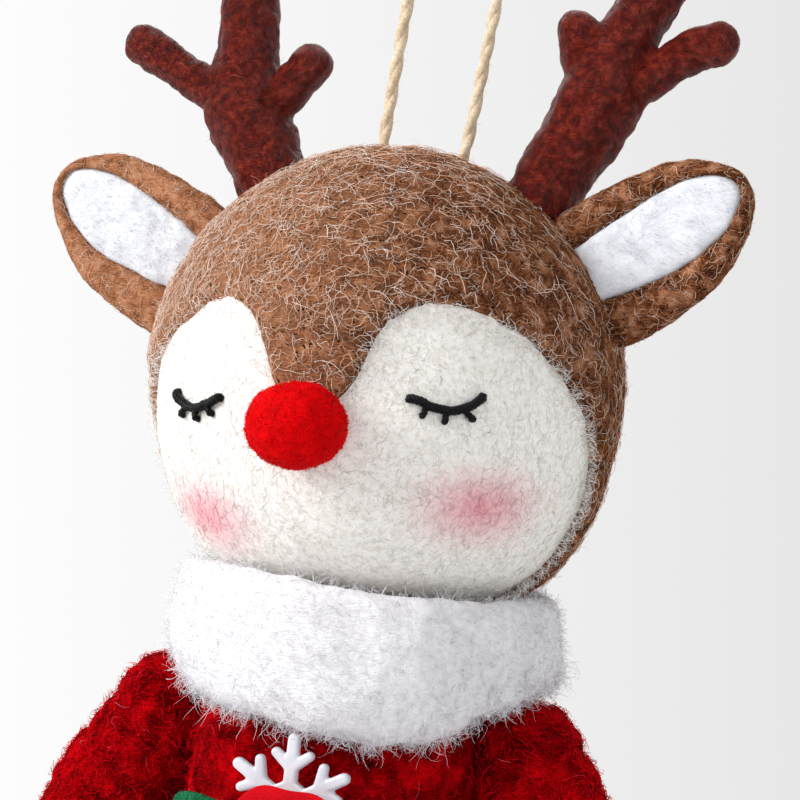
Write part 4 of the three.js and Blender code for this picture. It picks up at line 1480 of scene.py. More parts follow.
    def stitch(self, name: str, points: Array, thickness: float) -> Object:
        """Makes a stitch of thread whose ends go down into the wool."""
        line = catmull(points, 8)
        waver = np.stack([rough(line, 1.1, seed) for seed in (3.0, 11.0, 27.0)], axis=1)
        return yarn(name, from_head(line + self.waver * waver), thickness, 3, 1.5)

    def eye(self, side: Side, rng: Random) -> None:
        """Sews one closed eye: the lid and its lashes.

        Args:
            side: Which eye it is.
            rng: Source of random numbers.
        """
        form = self.form
        proud = form.face_radius + self.thread * 0.42

        def place(azimuth: float, share: float, radius: float) -> Array:
            """Returns a point of the eye on a ball, from its azimuth and height share on the face."""
            turn = side.value * azimuth + FACE_TURN_DEG
            drop = side.choose(0.0, self.right_eye_drop)
            return form.at(radius, turn, (share - drop) * form.face_radius / radius)

        sunk = form.face_radius - self.stitch_depth
        lid = [place(*self.lid[0], sunk)]
        lid += [place(*corner, proud) for corner in self.lid]
        lid.append(place(*self.lid[-1], sunk))
        parts = [self.stitch(f"lid_{side.word}", np.array(lid), self.thread)]
        fine = self.thread * self.lash_size
        for number, (start, end) in enumerate(self.lashes):
            line = [place(*start, proud), place(*end, proud), place(*end, sunk)]
            parts.append(self.stitch(f"lash_{side.word}_{number}", np.array(line), fine))
        obj = joined(f"eye_stitches_{side.word}", parts)
        dress(obj, "root", "black_thread", EYE_THREAD, f"eye_stitch_{side.word}")
        hairs = Standing(150, (0.2, 0.5), 0.022, stand=0.6, spread=0.6, curl=0.6, knots=4)
        piles = {f"eye_hairs_{side.word}": hairs}
        cover(Surface(obj), rng, "root", "black_thread", BLACK_HAIR, piles)


# Ears


@dataclass
class Ear:
    """One felt ear with white wool laid into it, in the head's frame."""

    side: Side
    length: float = 21.0
    half_width: float = 9.1
    thickness: float = 4.2
    rise_deg: float = 28.0
    root: Triple = (26.68, 0.0, 12.905)
    outline: Pairs = (
        (-0.42, 0.8), (0, 0.97), (0.19, 1), (0.53, 0.97), (0.8, 0.79), (0.97, 0.45), (1, 0.13),
        (0.94, -0.2), (0.795, -0.53), (0.545, -0.85), (0.28, -0.97), (0, -1), (-0.42, -0.8),
    )  # fmt: skip
    lining: Pair = (0.962, 0.68)
    lining_rise: float = 0.55
    lining_taper: float = 0.4  # how much narrower the lining is at the head
    shift: Pair = (-0.45, -0.35)  # along X from the even places, left and right
    puff: float = 0.14  # how far the felt stands out all round
    columns: int = 96

    def ring(self, along: float, across: float, rise: float) -> Array:
        """Returns the outline as an even flat ring, at a size along and across and raised."""
        corners = np.array(self.outline) * (self.length * along, self.half_width * across)
        closed = np.vstack([corners, corners[:1]])
        return resample(catmull(closed, 8), self.columns + 1)[:-1] + (0.0, rise)

    def lining_ring(self) -> Array:
        """Returns the outline of the lining, which narrows towards the head."""
        flat = self.ring(*self.lining, 0.0)
        narrow = 1 - self.lining_taper * np.clip(1 - flat[:, 0] / self.length, 0, 1) ** 1.3
        return np.column_stack([flat[:, 0], flat[:, 1] * narrow + self.lining_rise])

    def placed(self, flat: Array) -> Array:
        """Turns points drawn along X, out at Y and up Z into the body's frame."""
        turn = math.radians(self.rise_deg)
        x = flat[..., 0] * math.cos(turn) - flat[..., 2] * math.sin(turn)
        z = flat[..., 0] * math.sin(turn) + flat[..., 2] * math.cos(turn)
        out = np.stack([x, flat[..., 1], z], axis=-1) + np.array(self.root)
        out[..., 0] = out[..., 0] * self.side.value + self.side.choose(*self.shift)
        return from_head(out)

    def pillow(self, name: str, profile: Sequence[Pair]) -> Object:
        """Makes a closed flat body from rings round the ear.

        Args:
            name: The piece's name.
            profile: For each ring its size and how far it lies forward of the ear's middle. A size of
                0 to 1 is a share of the lining's outline, and 1 to 2 leads on to the ear's outline.

        Returns:
            The object.
        """
        inner = self.lining_ring()
        outer = self.ring(1.0, 1.0, 0.0)
        middle = inner.mean(axis=0)
        rings = []
        for size, forward in profile:
            ring = middle + (inner - middle) * min(size, 1.0) + (outer - inner) * max(size - 1.0, 0.0)
            rings.append(np.stack([ring[:, 0], np.full(len(ring), -forward), ring[:, 1]], axis=1))
        return ringed(name, self.placed(np.array(rings)))

    def build(self) -> None:
        """Builds the ear's felt, its lining and the fibres of both."""
        rng = np.random.default_rng(self.side.choose(23, 29))
        word = self.side.word
        half = self.thickness / 2
        front = [(size, half - 1.5) for size in np.linspace(0.03, 0.98, 8)]
        rim = [(1.02, half - 0.9), (1.1, half - 0.2), (1.3, half + 0.1), (1.55, half), (1.75, half - 0.25)]
        edge = [(1.9, half - 0.75), (1.98, half - 1.4), (2.0, 0.0), (1.97, -half + 1.3), (1.88, -half + 0.7)]
        back = [(1.7, -half + 0.25), (1.4, -half), (1.0, -half)]
        back += [(size, -half) for size in np.linspace(0.88, 0.03, 9)]
        felt = self.pillow(f"ear_{word}", front + rim + edge + back)
        push(felt, lambda p: self.puff + 0.25 * rough(p, 2.8, 6) + 0.1 * rough(p, 1.0, 2))
        # painted light: the right ear, on the lamp side, takes a paler copy of the felt than the left
        wool = self.side.choose(LIMB_FELT, LIT_EAR_FELT)
        dress(felt, "root", "hood_wool", wool, f"ear_outer_{word}")
        dome = [(size, half + 0.2 - 0.55 * size**3) for size in np.linspace(0.03, 0.94, 12)]
        dome += [(0.99, half - 0.65), (1.0, half - 1.0), (0.9, half - 1.3), (0.03, half - 1.3)]
        lining = self.pillow(f"ear_lining_{word}", dome)
        push(lining, lambda p: 0.2 * rough(p, 3.0, 8) + 0.12 * rough(p, 1.1, 3))
        dress(lining, "root", "ear_lining", LINING_FELT, f"ear_inner_{word}")
        curly = Lying(
            560, (1.0, 3.2), 0.026, lift=(0.02, 0.2), wave=1.8, drift=(0, 0, -0.4), tones=(0.5, 1.0), knots=7
        )
        matted = Lying(1300, (0.8, 2.2), 0.034, lift=(0.0, 0.1), wave=1.0, tones=(0.25, 0.7), knots=4)
        stray = Standing(420, (0.4, 1.1), 0.02, stand=0.6, curl=0.9, tones=(0.4, 1.0), knots=5)
        piles = {"curly": curly, "matted": matted, "stray": stray}
        piles = {f"ear_{name}_{word}": pile for name, pile in piles.items()}
        cover(Surface(felt), rng, "root", "hood_wool", HOOD_FIBRES, piles)
        outward = (self.side.value * 0.9, 0.0, 0.45)
        fluff = Standing(3400, (0.4, 1.4), 0.019, stand=0.3, lay=outward, spread=0.7, curl=1.0, knots=4)
        cover(Surface(lining), rng, "root", "ear_lining", LINING_FUZZ, {f"lining_fluff_{word}": fluff})


# Antlers

AntlerRows = tuple[tuple[float, float, float, float], ...]


@dataclass
class Antler:
    """One felted antler, in the head's frame, as rows of place and thickness shares."""

    side: Side
    beam: AntlerRows
    outer: AntlerRows
    inner: AntlerRows
    length: float = 34.0
    beam_radius: float = 4.0
    root: Triple = (16.53, 2.0, 22.185)
    shift: float = 0.0  # how far along X the antler sits from its even place
    voxel: float = 0.36

    def rows(self, shares: AntlerRows) -> Array:
        """Returns places in the body's frame and radii, in millimetres."""
        table = catmull(np.array(shares), 3)
        places = table[:, :3] * self.length + np.array(self.root)
        places[:, 0] = places[:, 0] * self.side.value + self.shift
        return np.column_stack([from_head(places), table[:, 3] * self.beam_radius])

    def limb(self, name: str, shares: AntlerRows) -> Object:
        """Models one limb as a tube with round ends."""
        rows = self.rows(shares)
        along = unit(np.gradient(rows[:, :3], axis=0))
        return tube(name, rows, (-along[0], along[-1]), (6, 8), 28)

    def build(self) -> None:
        """Builds the antler: its limbs felted into one, with lumps and a few loose fibres."""
        word = self.side.word
        limbs = [
            self.limb(f"{part}_{word}", shares)
            for part, shares in (("beam", self.beam), ("outer", self.outer), ("inner", self.inner))
        ]
        obj = joined(f"antler_wool_{word}", limbs)
        apply_modifier(obj, "REMESH", mode="VOXEL", voxel_size=self.voxel * MM)
        apply_modifier(obj, "SMOOTH", factor=0.5, iterations=10)
        obj.data.shade_smooth()
        seed = self.side.choose(12, 15)
        push(
            obj,
            lambda p: 0.06 + 0.34 * rough(p, 3.0, seed) + 0.2 * knobbly(p, 1.8, seed + 2)
            - 0.3 * np.clip(rough(p, 1.1, seed + 5) - 0.2, 0, 1),
        )
        dress(obj, "root", "antler_wool", ANTLER_FELT, f"antler_{word}")
        rng = np.random.default_rng(seed)
        piles = {
            f"antler_matted_{word}": Lying(
                620, (0.8, 3.0), 0.022, lift=(0.0, 0.06), wave=0.6, drift=(0, 0, 0.6), knots=6
            ),
            f"antler_stray_{word}": Standing(180, (0.3, 1.0), 0.017, stand=0.6, curl=0.8, knots=5),
        }
        cover(Surface(obj), rng, "root", "antler_wool", ANTLER_FUZZ, piles)


ANTLERS = (
    Antler(
        Side.LEFT,
        beam=(
            (-0.09, -0.02, -0.16, 1.05), (0, 0, 0.03, 1.08), (0.07, 0.015, 0.165, 1.13),
            (0.135, 0.024, 0.274, 1.22), (0.19, 0.03, 0.394, 1.28), (0.23, 0.04, 0.506, 1.1),
            (0.262, 0.053, 0.6, 0.94), (0.34, 0.068, 0.75, 0.9), (0.41, 0.082, 0.882, 0.84),
        ),
        outer=(
            (0.24, 0.03, 0.4, 0.75), (0.345, 0.03, 0.455, 0.68), (0.43, 0.03, 0.505, 0.62),
            (0.53, 0.03, 0.56, 0.64), (0.6, 0.03, 0.58, 0.66),
        ),
        inner=(
            (0.18, 0.03, 0.4, 0.78), (0.14, 0.03, 0.46, 0.72), (0.11, 0.03, 0.538, 0.68),
            (0.088, 0.03, 0.625, 0.68),
        ),
        shift=1.65,
    ),
    Antler(
        Side.RIGHT,
        beam=(
            (-0.09, -0.02, -0.16, 1.05), (0.02, 0, 0.04, 1.1), (0.09, 0.015, 0.19, 1.22),
            (0.16, 0.03, 0.33, 1.34), (0.18, 0.041, 0.46, 1.12), (0.18, 0.053, 0.588, 0.94),
            (0.19, 0.068, 0.75, 0.89), (0.21, 0.082, 0.897, 0.84),
        ),
        outer=(
            (0.18, 0.03, 0.36, 0.8), (0.29, 0.03, 0.405, 0.66), (0.385, 0.03, 0.455, 0.58),
            (0.475, 0.03, 0.515, 0.6), (0.58, 0.03, 0.575, 0.66),
        ),
        inner=(
            (0.12, 0.03, 0.34, 0.78), (0.03, 0.03, 0.385, 0.68), (-0.03, 0.03, 0.44, 0.64),
            (-0.08, 0.03, 0.51, 0.64),
        ),
        shift=0.4,
    ),
)  # fmt: skip


# Hanging loop


@dataclass
class HangingLoop:
    """The twine that the ornament hangs on, from the knot over the arch and back."""

    diameter: float = 1.6
    pitch: float = 7.5
    exit_number: int = 3  # the route's point where the twine leaves the crown
    route: tuple[Triple, ...] = (
        (-1.5, 5.4, 18.2), (-3.2, 5.8, 21.6), (-4.8, 6.2, 25), (-5.5, 6.5, 28.4), (-5.4, 6.9, 33),
        (-5.2, 7.3, 38), (-5, 7.7, 43), (-4.7, 8, 48), (-4.5, 8.3, 53), (-4.2, 8.6, 58),
        (-3.9, 8.9, 63), (-3.3, 9.2, 67.4), (-1.7, 9.5, 71.2), (0.4, 9.7, 73.6), (2.4, 9.8, 74.4),
        (4.6, 9.7, 73.8), (6.8, 9.5, 71.6), (8.1, 9.2, 67.8), (7.9, 8.9, 63), (7.6, 8.6, 58),
        (7.2, 8.3, 53), (6.8, 8, 48), (6.4, 7.7, 43), (6, 7.3, 38), (5.6, 6.9, 33),
        (5, 6.5, 28), (3.8, 6.2, 24.6), (2.2, 5.8, 21.2), (1, 5.4, 18.2),
    )  # fmt: skip

    def build(self) -> None:
        """Twists the twine along its route and adds its loose hairs."""
        rng = np.random.default_rng(5)
        line = catmull(np.array(self.route), 8)
        twine = yarn("hanging_twine", line, self.diameter, 2, self.pitch)
        dress(twine, "root", "twine", TWINE, "hang_twine")
        hairs = Standing(700, (0.4, 1.4), 0.017, stand=0.4, lay=(0, 0, 1), spread=0.6, curl=0.8, knots=4)
        cover(Surface(twine), rng, "root", "twine", TWINE_HAIR, {"twine_hairs": hairs})


# Body


@dataclass
class BodyForm:
    """The coat's form under the head."""

    top: float = -36.5
    height: float = 48.0
    half_width: float = 20.6
    half_depth: float = 20.4
    shares: tuple[Triple, ...] = (
        (0, 0.5, 0.5), (0.05, 0.67, 0.66), (0.16, 0.745, 0.8), (0.28, 0.82, 0.885),
        (0.42, 0.9, 0.94), (0.58, 0.965, 0.985), (0.74, 1, 1), (0.86, 0.97, 0.965),
        (0.95, 0.85, 0.84), (1, 0.68, 0.66),
    )  # fmt: skip

    def rows(self, inset: float, per_span: int) -> Array:
        """Returns height, half width and half depth from the neck down, at an inset."""
        table = catmull(np.array(self.shares), per_span)
        drop = table[:, 0] * (self.height - 2 * inset)
        reach = table[:, 1:] * (self.half_width, self.half_depth) - inset
        return np.column_stack([self.top - inset - drop, reach])

    def half_depth_at(self, height: float) -> float:
        """Returns how far forward the coat reaches at a height."""
        rows = self.rows(0, 6)[::-1]
        return float(np.interp(height, rows[:, 0], rows[:, 2]))


def level_rings(rows: Array, columns: int) -> Array:
    """Returns level rings from rows of height, half width and half depth."""
    turn = ring_turns(columns)
    x = rows[:, 1:2] * np.cos(turn)
    y = rows[:, 2:3] * np.sin(turn)
    z = np.broadcast_to(rows[:, :1], x.shape)
    return np.stack([x, y, z], axis=-1)


@dataclass
class Coat:
    """The boucle coat over the stuffed body."""

    form: BodyForm = field(default_factory=BodyForm)
    thickness: float = 2.0
    bulge: float = 0.9  # how far its underside stands out
    shoulder: float = -45.0
    shoulder_swell: float = 3.4
    columns: int = 150

    def build(self) -> None:
        """Builds the coat and its pile."""
        rng = np.random.default_rng(41)
        outer = self.form.rows(0.5, 9)
        low, low_width, low_depth = outer[-1]
        shares = np.linspace(0.92, 0.04, 14)
        sunk = low - self.bulge * np.sqrt(1 - shares**2)
        under = np.column_stack([sunk, low_width * shares, low_depth * shares])
        inner = self.form.rows(self.thickness, 1)
        rings = np.vstack([inner[::-1], outer, under])
        obj = ringed("coat", level_rings(rings, self.columns))
        push(obj, self.swell)
        dress(obj, "root", "coat_fleece", COAT_FLEECE, "coat_body")
        piles = fleece_piles("coat", 7200)
        cover(Surface(obj), rng, "root", "coat_fleece", COAT_FUZZ, piles, self.below_collar)

    def swell(self, points: Array) -> Array:
        """Returns how far the coat stands out: its knots, and fuller where the arms join."""
        near = bell(points[:, 2], self.shoulder, 8.0)
        beside = np.clip(np.abs(points[:, 0]) / self.form.half_width * 3 - 0.8, 0, 1)
        neck = np.abs(points[:, 2] - self.form.top) < 3
        return np.where(neck, 0, fleece(points, 7)) + self.shoulder_swell * near * beside

    def below_collar(self, points: Array) -> Array:
        """Tells where the coat shows: not under the collar, nor in the middle below."""
        return (points[:, 2] < self.form.top - 2) & (np.hypot(points[:, 0], points[:, 1]) > 3)


def fleece(points: Array, seed: float) -> Array:
    """Returns the height of boucle knots at points."""
    return 0.8 * knobbly(points, 2.8, seed) + 0.4 * rough(points, 5.5, seed) - 0.4


def fleece_piles(name: str, count: int) -> dict[str, Pile]:
    """Makes the coat's pile: short curls over everything and a few long pink strays.

    Args:
        name: Start of the pieces' names.
        count: How many short curls there are.

    Returns:
        The piles by the names of their pieces.
    """
    curls = Standing(
        count, (0.7, 1.7), 0.05, stand=0.55, lay=(0, 0, -0.6), spread=0.5, curl=1.0, turns=0.8,
        tufts=count // 12, pull=0.55, tones=(0.0, 0.955), knots=4,
    )  # fmt: skip
    matted = Lying(
        count // 3, (1.2, 3.2), 0.036, lift=(0.1, 0.7), wave=1.8, tones=(0.3, 0.955), knots=5
    )
    strays = Lying(
        count // 90, (1.0, 3.2), 0.02, lift=(0.3, 1.1), wave=1.6, tones=(0.965, 1.0), knots=7
    )
    return {f"{name}_curls": curls, f"{name}_matted": matted, f"{name}_strays": strays}


@dataclass
class Collar:
    """The band of long-pile fur round the neck."""

    radius: float = 24.2
    height: float = 16.5
    top: float = -24.3
    aside: float = 0.95  # the band sits this far along X
    tilt: float = 0.012  # how much lower it is per millimetre to its left
    chin_rise: float = 0.6  # how much higher its fur stands under the chin
    chin_span: Pair = (-22.0, 34.0)  # where that is, and how wide, in degrees
    columns: int = 180
    shares: Pairs = (
        (0.72, -0.06), (0.8, -0.01), (0.88, 0), (0.95, -0.08), (0.985, -0.25), (1, -0.5),
        (1.0, -0.75), (0.965, -0.92), (0.87, -1), (0.78, -0.97),
    )  # fmt: skip
    inner_shares: Pairs = ((0.725, -0.85), (0.7, -0.55), (0.69, -0.25), (0.7, -0.1))
    lower_edge: Pairs = (
        (-180, 0.94), (-140, 0.86), (-105, 0.74), (-75, 0.77), (-45, 0.93), (-15, 1.0), (8, 1.05),
        (28, 1.09), (43, 1.04), (53, 0.965), (64, 0.84), (95, 0.73), (130, 0.82), (180, 0.94),
    )  # fmt: skip

    def height_at(self, azimuth_deg: Array) -> Array:
        """Returns the band's height at azimuths off the chest's middle: the shoulders push it up."""
        line = catmull(np.array(self.lower_edge, float), 8)
        return self.height * np.interp(azimuth_deg, line[:, 0], line[:, 1])

    def build(self) -> None:
        """Builds the band and its pile."""
        rng = np.random.default_rng(61)
        profile = catmull(np.array(self.shares), 4)
        loop = np.vstack([profile, self.inner_shares])
        turn = ring_turns(self.columns)
        reach = (loop[:, 0] * self.radius)[:, None]
        x = reach * np.cos(turn) + self.aside
        y = reach * np.sin(turn)
        azimuth = np.degrees(np.arctan2(x, -y))
        tall = self.height_at(azimuth)
        lift = self.chin_rise * bell(azimuth, *self.chin_span)
        z = self.top + lift + loop[:, 1:] * (tall + lift) - self.tilt * x
        rings = np.stack([x, y, z], axis=-1)
        count = len(loop)
        faces = grid_faces(count + 1, self.columns) % (count * self.columns)
        obj = make_object("collar", rings.reshape(-1, 3), faces[:, ::-1])
        face_out(obj)
        push(obj, lambda p: 0.7 * rough(p, 6.0, 3) + 0.3 * rough(p, 2.2, 6) - 0.3)
        dress(obj, "root", "fur", FUR_BASE, "fur_collar")
        surface = Surface(obj)
        middle = self.radius * 0.76

        def outside(points: Array) -> Array:
            """Tells where the band's outer side is."""
            return np.hypot(points[:, 0], points[:, 1]) > middle

        def lower(points: Array) -> Array:
            """Returns more towards the band's lower edge."""
            tall = self.height_at(np.degrees(np.arctan2(points[:, 0], -points[:, 1])))
            drop = (self.top - points[:, 2]) / tall
            return outside(points) * np.clip((drop - 0.5) * 3, 0, 1)

        down = (0.0, 0.0, -1.0)
        plush = Standing(
            8800, (1.2, 2.8), 0.03, stand=0.42, lay=down, spread=0.6, curl=1.5, tufts=600, pull=0.2, knots=4
        )
        fringe = Standing(
            3600, (2.0, 5.4), 0.026, stand=0.3, lay=down, spread=0.55, curl=1.9, turns=1.4, tufts=340,
            pull=0.25, knots=7,
        )  # fmt: skip
        strays = Standing(
            260, (2.5, 5.5), 0.02, stand=0.4, lay=down, spread=0.5, curl=1.5, turns=1.4, knots=10
        )
        low = {"collar_fringe": fringe, "collar_strays": strays}
        for piles, keep in (({"collar_plush": plush}, outside), (low, lower)):
            cover(surface, rng, "root", "fur", WHITE_FUZZ, piles, keep)


# Arms and legs


@dataclass
class Arm:
    """A fleece sleeve that turns at the shoulder, with a felt hand in its cuff."""

    side: Side
    shoulder: Triple = (23.314, 0.0, -44.0)
    radius: float = 8.3
    length: float = 27.0
    out_deg: float = 25.0
    forward_deg: float = 7.0
    shares: Pairs = (
        (0, 0.85), (0.12, 0.9), (0.35, 0.98), (0.65, 1), (0.9, 0.96), (1, 0.9),
    )  # fmt: skip
    hand_radius: float = 6.4
    hand_gap: float = 0.35
    hand_reach: float = 6.0
    cuff_depth: float = 7.0

    @property
    def along(self) -> Array:
        """The direction that the arm hangs in."""
        out = math.radians(self.out_deg)
        forward = math.radians(self.forward_deg)
        down = (-math.cos(out) * math.sin(forward), -math.cos(out) * math.cos(forward))
        return np.array((self.side.value * math.sin(out), *down))

    @property
    def root(self) -> Array:
        """Where the arm turns on the shoulder."""
        return np.array(self.shoulder) * (self.side.value, 1, 1)

    def at(self, reach: float, radius: float) -> Array:
        """Returns a row of place and radius at a distance down the arm."""
        return np.array((*(self.root + self.along * reach), radius))

    def measured(self, points: Array) -> tuple[Array, Array]:
        """Returns how far down the arm points lie, and how far from its axis."""
        reach = (points - self.root) @ self.along
        return reach, np.linalg.norm(points - self.root - np.outer(reach, self.along), axis=1)

    def build(self) -> None:
        """Builds the sleeve and the hand."""
        rng = np.random.default_rng(self.side.choose(71, 73))
        word = self.side.word
        body = f"arm_{word}"
        table = catmull(np.array(self.shares), 8)
        skin = self.radius - 0.2
        outer = np.array([self.at(share * self.length, skin * size) for share, size in table])
        top = round_end(outer[0], -self.along, 14)[::-1]
        hole = self.hand_radius + self.hand_gap
        cuff = [
            self.at(self.length + 0.5, outer[-1][3] - 0.5),
            self.at(self.length + 0.4, hole + 0.3),
            self.at(self.length - 0.3, hole),
            self.at(self.length - self.cuff_depth * 0.5, hole),
            self.at(self.length - self.cuff_depth, hole - 0.4),
            self.at(self.length - self.cuff_depth - 5.5, 2.0),
        ]
        rings = limb_rings(np.vstack([top, outer, cuff]), 96)
        sleeve = ringed(f"sleeve_{word}_fleece", rings)

        def lumps(points: Array) -> Array:
            """Returns the height of the sleeve's knots, and 0 in the cuff."""
            reach, radial = self.measured(points)
            outside = np.clip((radial - hole - 0.2) / 1.0, 0, 1)
            outside = np.where(reach < self.length - self.cuff_depth - 6, 1.0, outside)
            return outside * fleece(points, 19 + self.side.value)

        push(sleeve, lumps)
        dress(sleeve, body, "coat_fleece", COAT_FLEECE, f"sleeve_{word}")

        def outer_skin(points: Array) -> Array:
            """Tells where the sleeve's outer side is."""
            reach, radial = self.measured(points)
            return (radial > hole + 0.2) | (reach < 2)

        piles = fleece_piles(f"sleeve_{word}", 3700)
        cover(Surface(sleeve), rng, body, "coat_fleece", COAT_FUZZ, piles, outer_skin)
        self.hand(body, rng)

    def hand(self, body: str, rng: Random) -> None:
        """Models the felt end of the arm.

        Args:
            body: The body that moves it.
            rng: Source of random numbers.
        """
        word = self.side.word
        start = self.length - self.cuff_depth
        end = start + self.cuff_depth + self.hand_reach - self.hand_radius
        rows = np.array([self.at(reach, self.hand_radius) for reach in np.linspace(start, end, 8)])
        obj = tube(f"hand_{word}_felt", rows, (-self.along, self.along), (8, 12), 64)
        push(obj, lambda p: 0.22 * rough(p, 2.6, 2) - 0.1)
        dress(obj, body, "hood_wool", LIMB_FELT, f"hand_{word}")

        def below_cuff(points: Array) -> Array:
            """Tells where the hand shows."""
            return self.measured(points)[0] > self.length + 1

        piles = felted_piles(f"hand_{word}", 480)
        cover(Surface(obj), rng, body, "hood_wool", HOOD_FIBRES, piles, below_cuff)


def felted_piles(name: str, count: int) -> dict[str, Pile]:
    """Makes curly fibres that are matted over a felted piece, and a few that stand off.

    Args:
        name: Start of the pieces' names.
        count: How many lie on it.

    Returns:
        The piles by the names of their pieces.
    """
    curly = Lying(count, (1.2, 3.4), 0.026, lift=(0.02, 0.3), wave=1.6, tones=(0.1, 1.0), knots=6)
    stray = Standing(count // 3, (0.5, 1.4), 0.02, stand=0.6, curl=0.9, tones=(0.3, 1.0), knots=5)
    return {f"{name}_curly": curly, f"{name}_stray": stray}


@dataclass
class Leg:
    """A felt leg with a dark hoof that dangles on a thread."""

    side: Side
    spread: float = 8.0
    body_bottom: float = -84.5
    gap: float = 0.3
    thread: float = 1.2
    thread_length: float = 3.4
    thread_in_leg: float = 5.0
    radius: float = 5.6
    length: float = 19.0
    hoof_radius: float = 6.0
    hoof_height: float = 7.0
    leg_shares: Pairs = ((0, 0.84), (0.25, 0.92), (0.6, 1), (1, 0.97))
    hoof_shares: Pairs = ((0, 0.95), (0.35, 1), (0.75, 0.94), (1, 0.72))

    def row(self, height: float, radius: float) -> Array:
        """Returns a row of place and radius on the leg's axis."""
        return np.array((self.side.value * self.spread, 0.0, height, radius))

    def rows(self, top: float, length: float, radius: float, shares: Array) -> Array:
        """Returns rows down from a height, from shares of a length and of a radius."""
        return np.array([self.row(top - down * length, radius * size) for down, size in shares])

    def build(self) -> None:
        """Builds the leg, its hoof and its thread."""
        rng = np.random.default_rng(self.side.choose(83, 89))
        word = self.side.word
        body = f"lower_leg_{word}"
        knot = self.body_bottom - self.gap - self.thread
        top = knot - self.thread_length
        bend = self.radius * self.leg_shares[0][1]
        rows = self.rows(top - bend, self.length - bend, self.radius, catmull(np.array(self.leg_shares), 8))
        cap = round_end(rows[0], np.array((0.0, 0.0, 1.0)), 10)[::-1]
        end = [self.row(rows[-1][2] - 0.1, self.radius * 0.8), self.row(rows[-1][2] - 0.1, 1.0)]
        leg = np.vstack([cap, rows, end])
        hoof_top = top - self.length - self.gap
        shares = catmull(np.array(self.hoof_shares), 6)
        rows = self.rows(hoof_top, self.hoof_height, self.hoof_radius, shares)
        first = [self.row(hoof_top + 0.05, 1.0), self.row(hoof_top + 0.1, self.hoof_radius * 0.8)]
        last = [self.row(rows[-1][2] - 0.15, self.hoof_radius * 0.5), self.row(rows[-1][2] - 0.15, 0.8)]
        hoof = np.vstack([first, rows, last])
        for part, rows, lumps, slot, felt, fuzz, count in (
            ("leg", leg, (0.2, 2.6, 4), "hood_wool", LIMB_FELT, HOOD_FIBRES, 620),
            ("hoof", hoof, (0.16, 2.2, 5), "hoof_wool", HOOF_FELT, HOOF_FUZZ, 420),
        ):
            height, *grain = lumps
            obj = ringed(f"{part}_{word}_felt", limb_rings(rows, 64))
            push(obj, lambda p, height=height, grain=grain: height * rough(p, *grain))
            dress(obj, body, slot, felt, f"{part}_{word}")
            cover(Surface(obj), rng, body, slot, fuzz, felted_piles(f"{part}_{word}", count))
        line = np.linspace(self.row(knot, 0)[:3], self.row(top - self.thread_in_leg, 0)[:3], 12)
        thread = yarn(f"thread_{word}", line, self.thread, 3, 1.6)
        dress(thread, body, "black_thread", EYE_THREAD)
        self.knot(word, body, knot)

    def knot(self, word: str, body: str, height: float) -> None:
        """Models the knot that the leg hangs on.

        Args:
            word: The side, as names give it.
            body: The body that moves the leg.
            height: Where the knot's middle is.
        """
        turn = np.linspace(0, 2 * math.pi, 49)
        size = self.thread * 0.62
        x = self.side.value * self.spread + size * (np.sin(turn) + 0.6 * np.sin(2 * turn)) * 0.8
        y = size * (np.cos(turn) - 0.6 * np.cos(2 * turn)) * 0.8
        z = height - size * 0.8 * np.sin(3 * turn)
        obj = yarn(f"thread_knot_{word}", np.column_stack([x, y, z]), self.thread * 0.8, 3, 1.4)
        dress(obj, body, "black_thread", EYE_THREAD, f"leg_thread_{word}")


# Brooch


def facing_rings(centre: Array, rows: Sequence[Pair], sides: int) -> Array:
    """Returns round rings square to Y from rows of radius and place along Y.

    Args:
        centre: The point on the rings' axis that places count from.
        rows: Radius and place along Y of each ring.
        sides: How many points a ring has.

    Returns:
        The rings' points.
    """
    turn = ring_turns(sides)
    return np.array(
        [
            centre + np.column_stack([size * np.cos(turn), np.full(sides, y), size * np.sin(turn)])
            for size, y in rows
        ]
    )


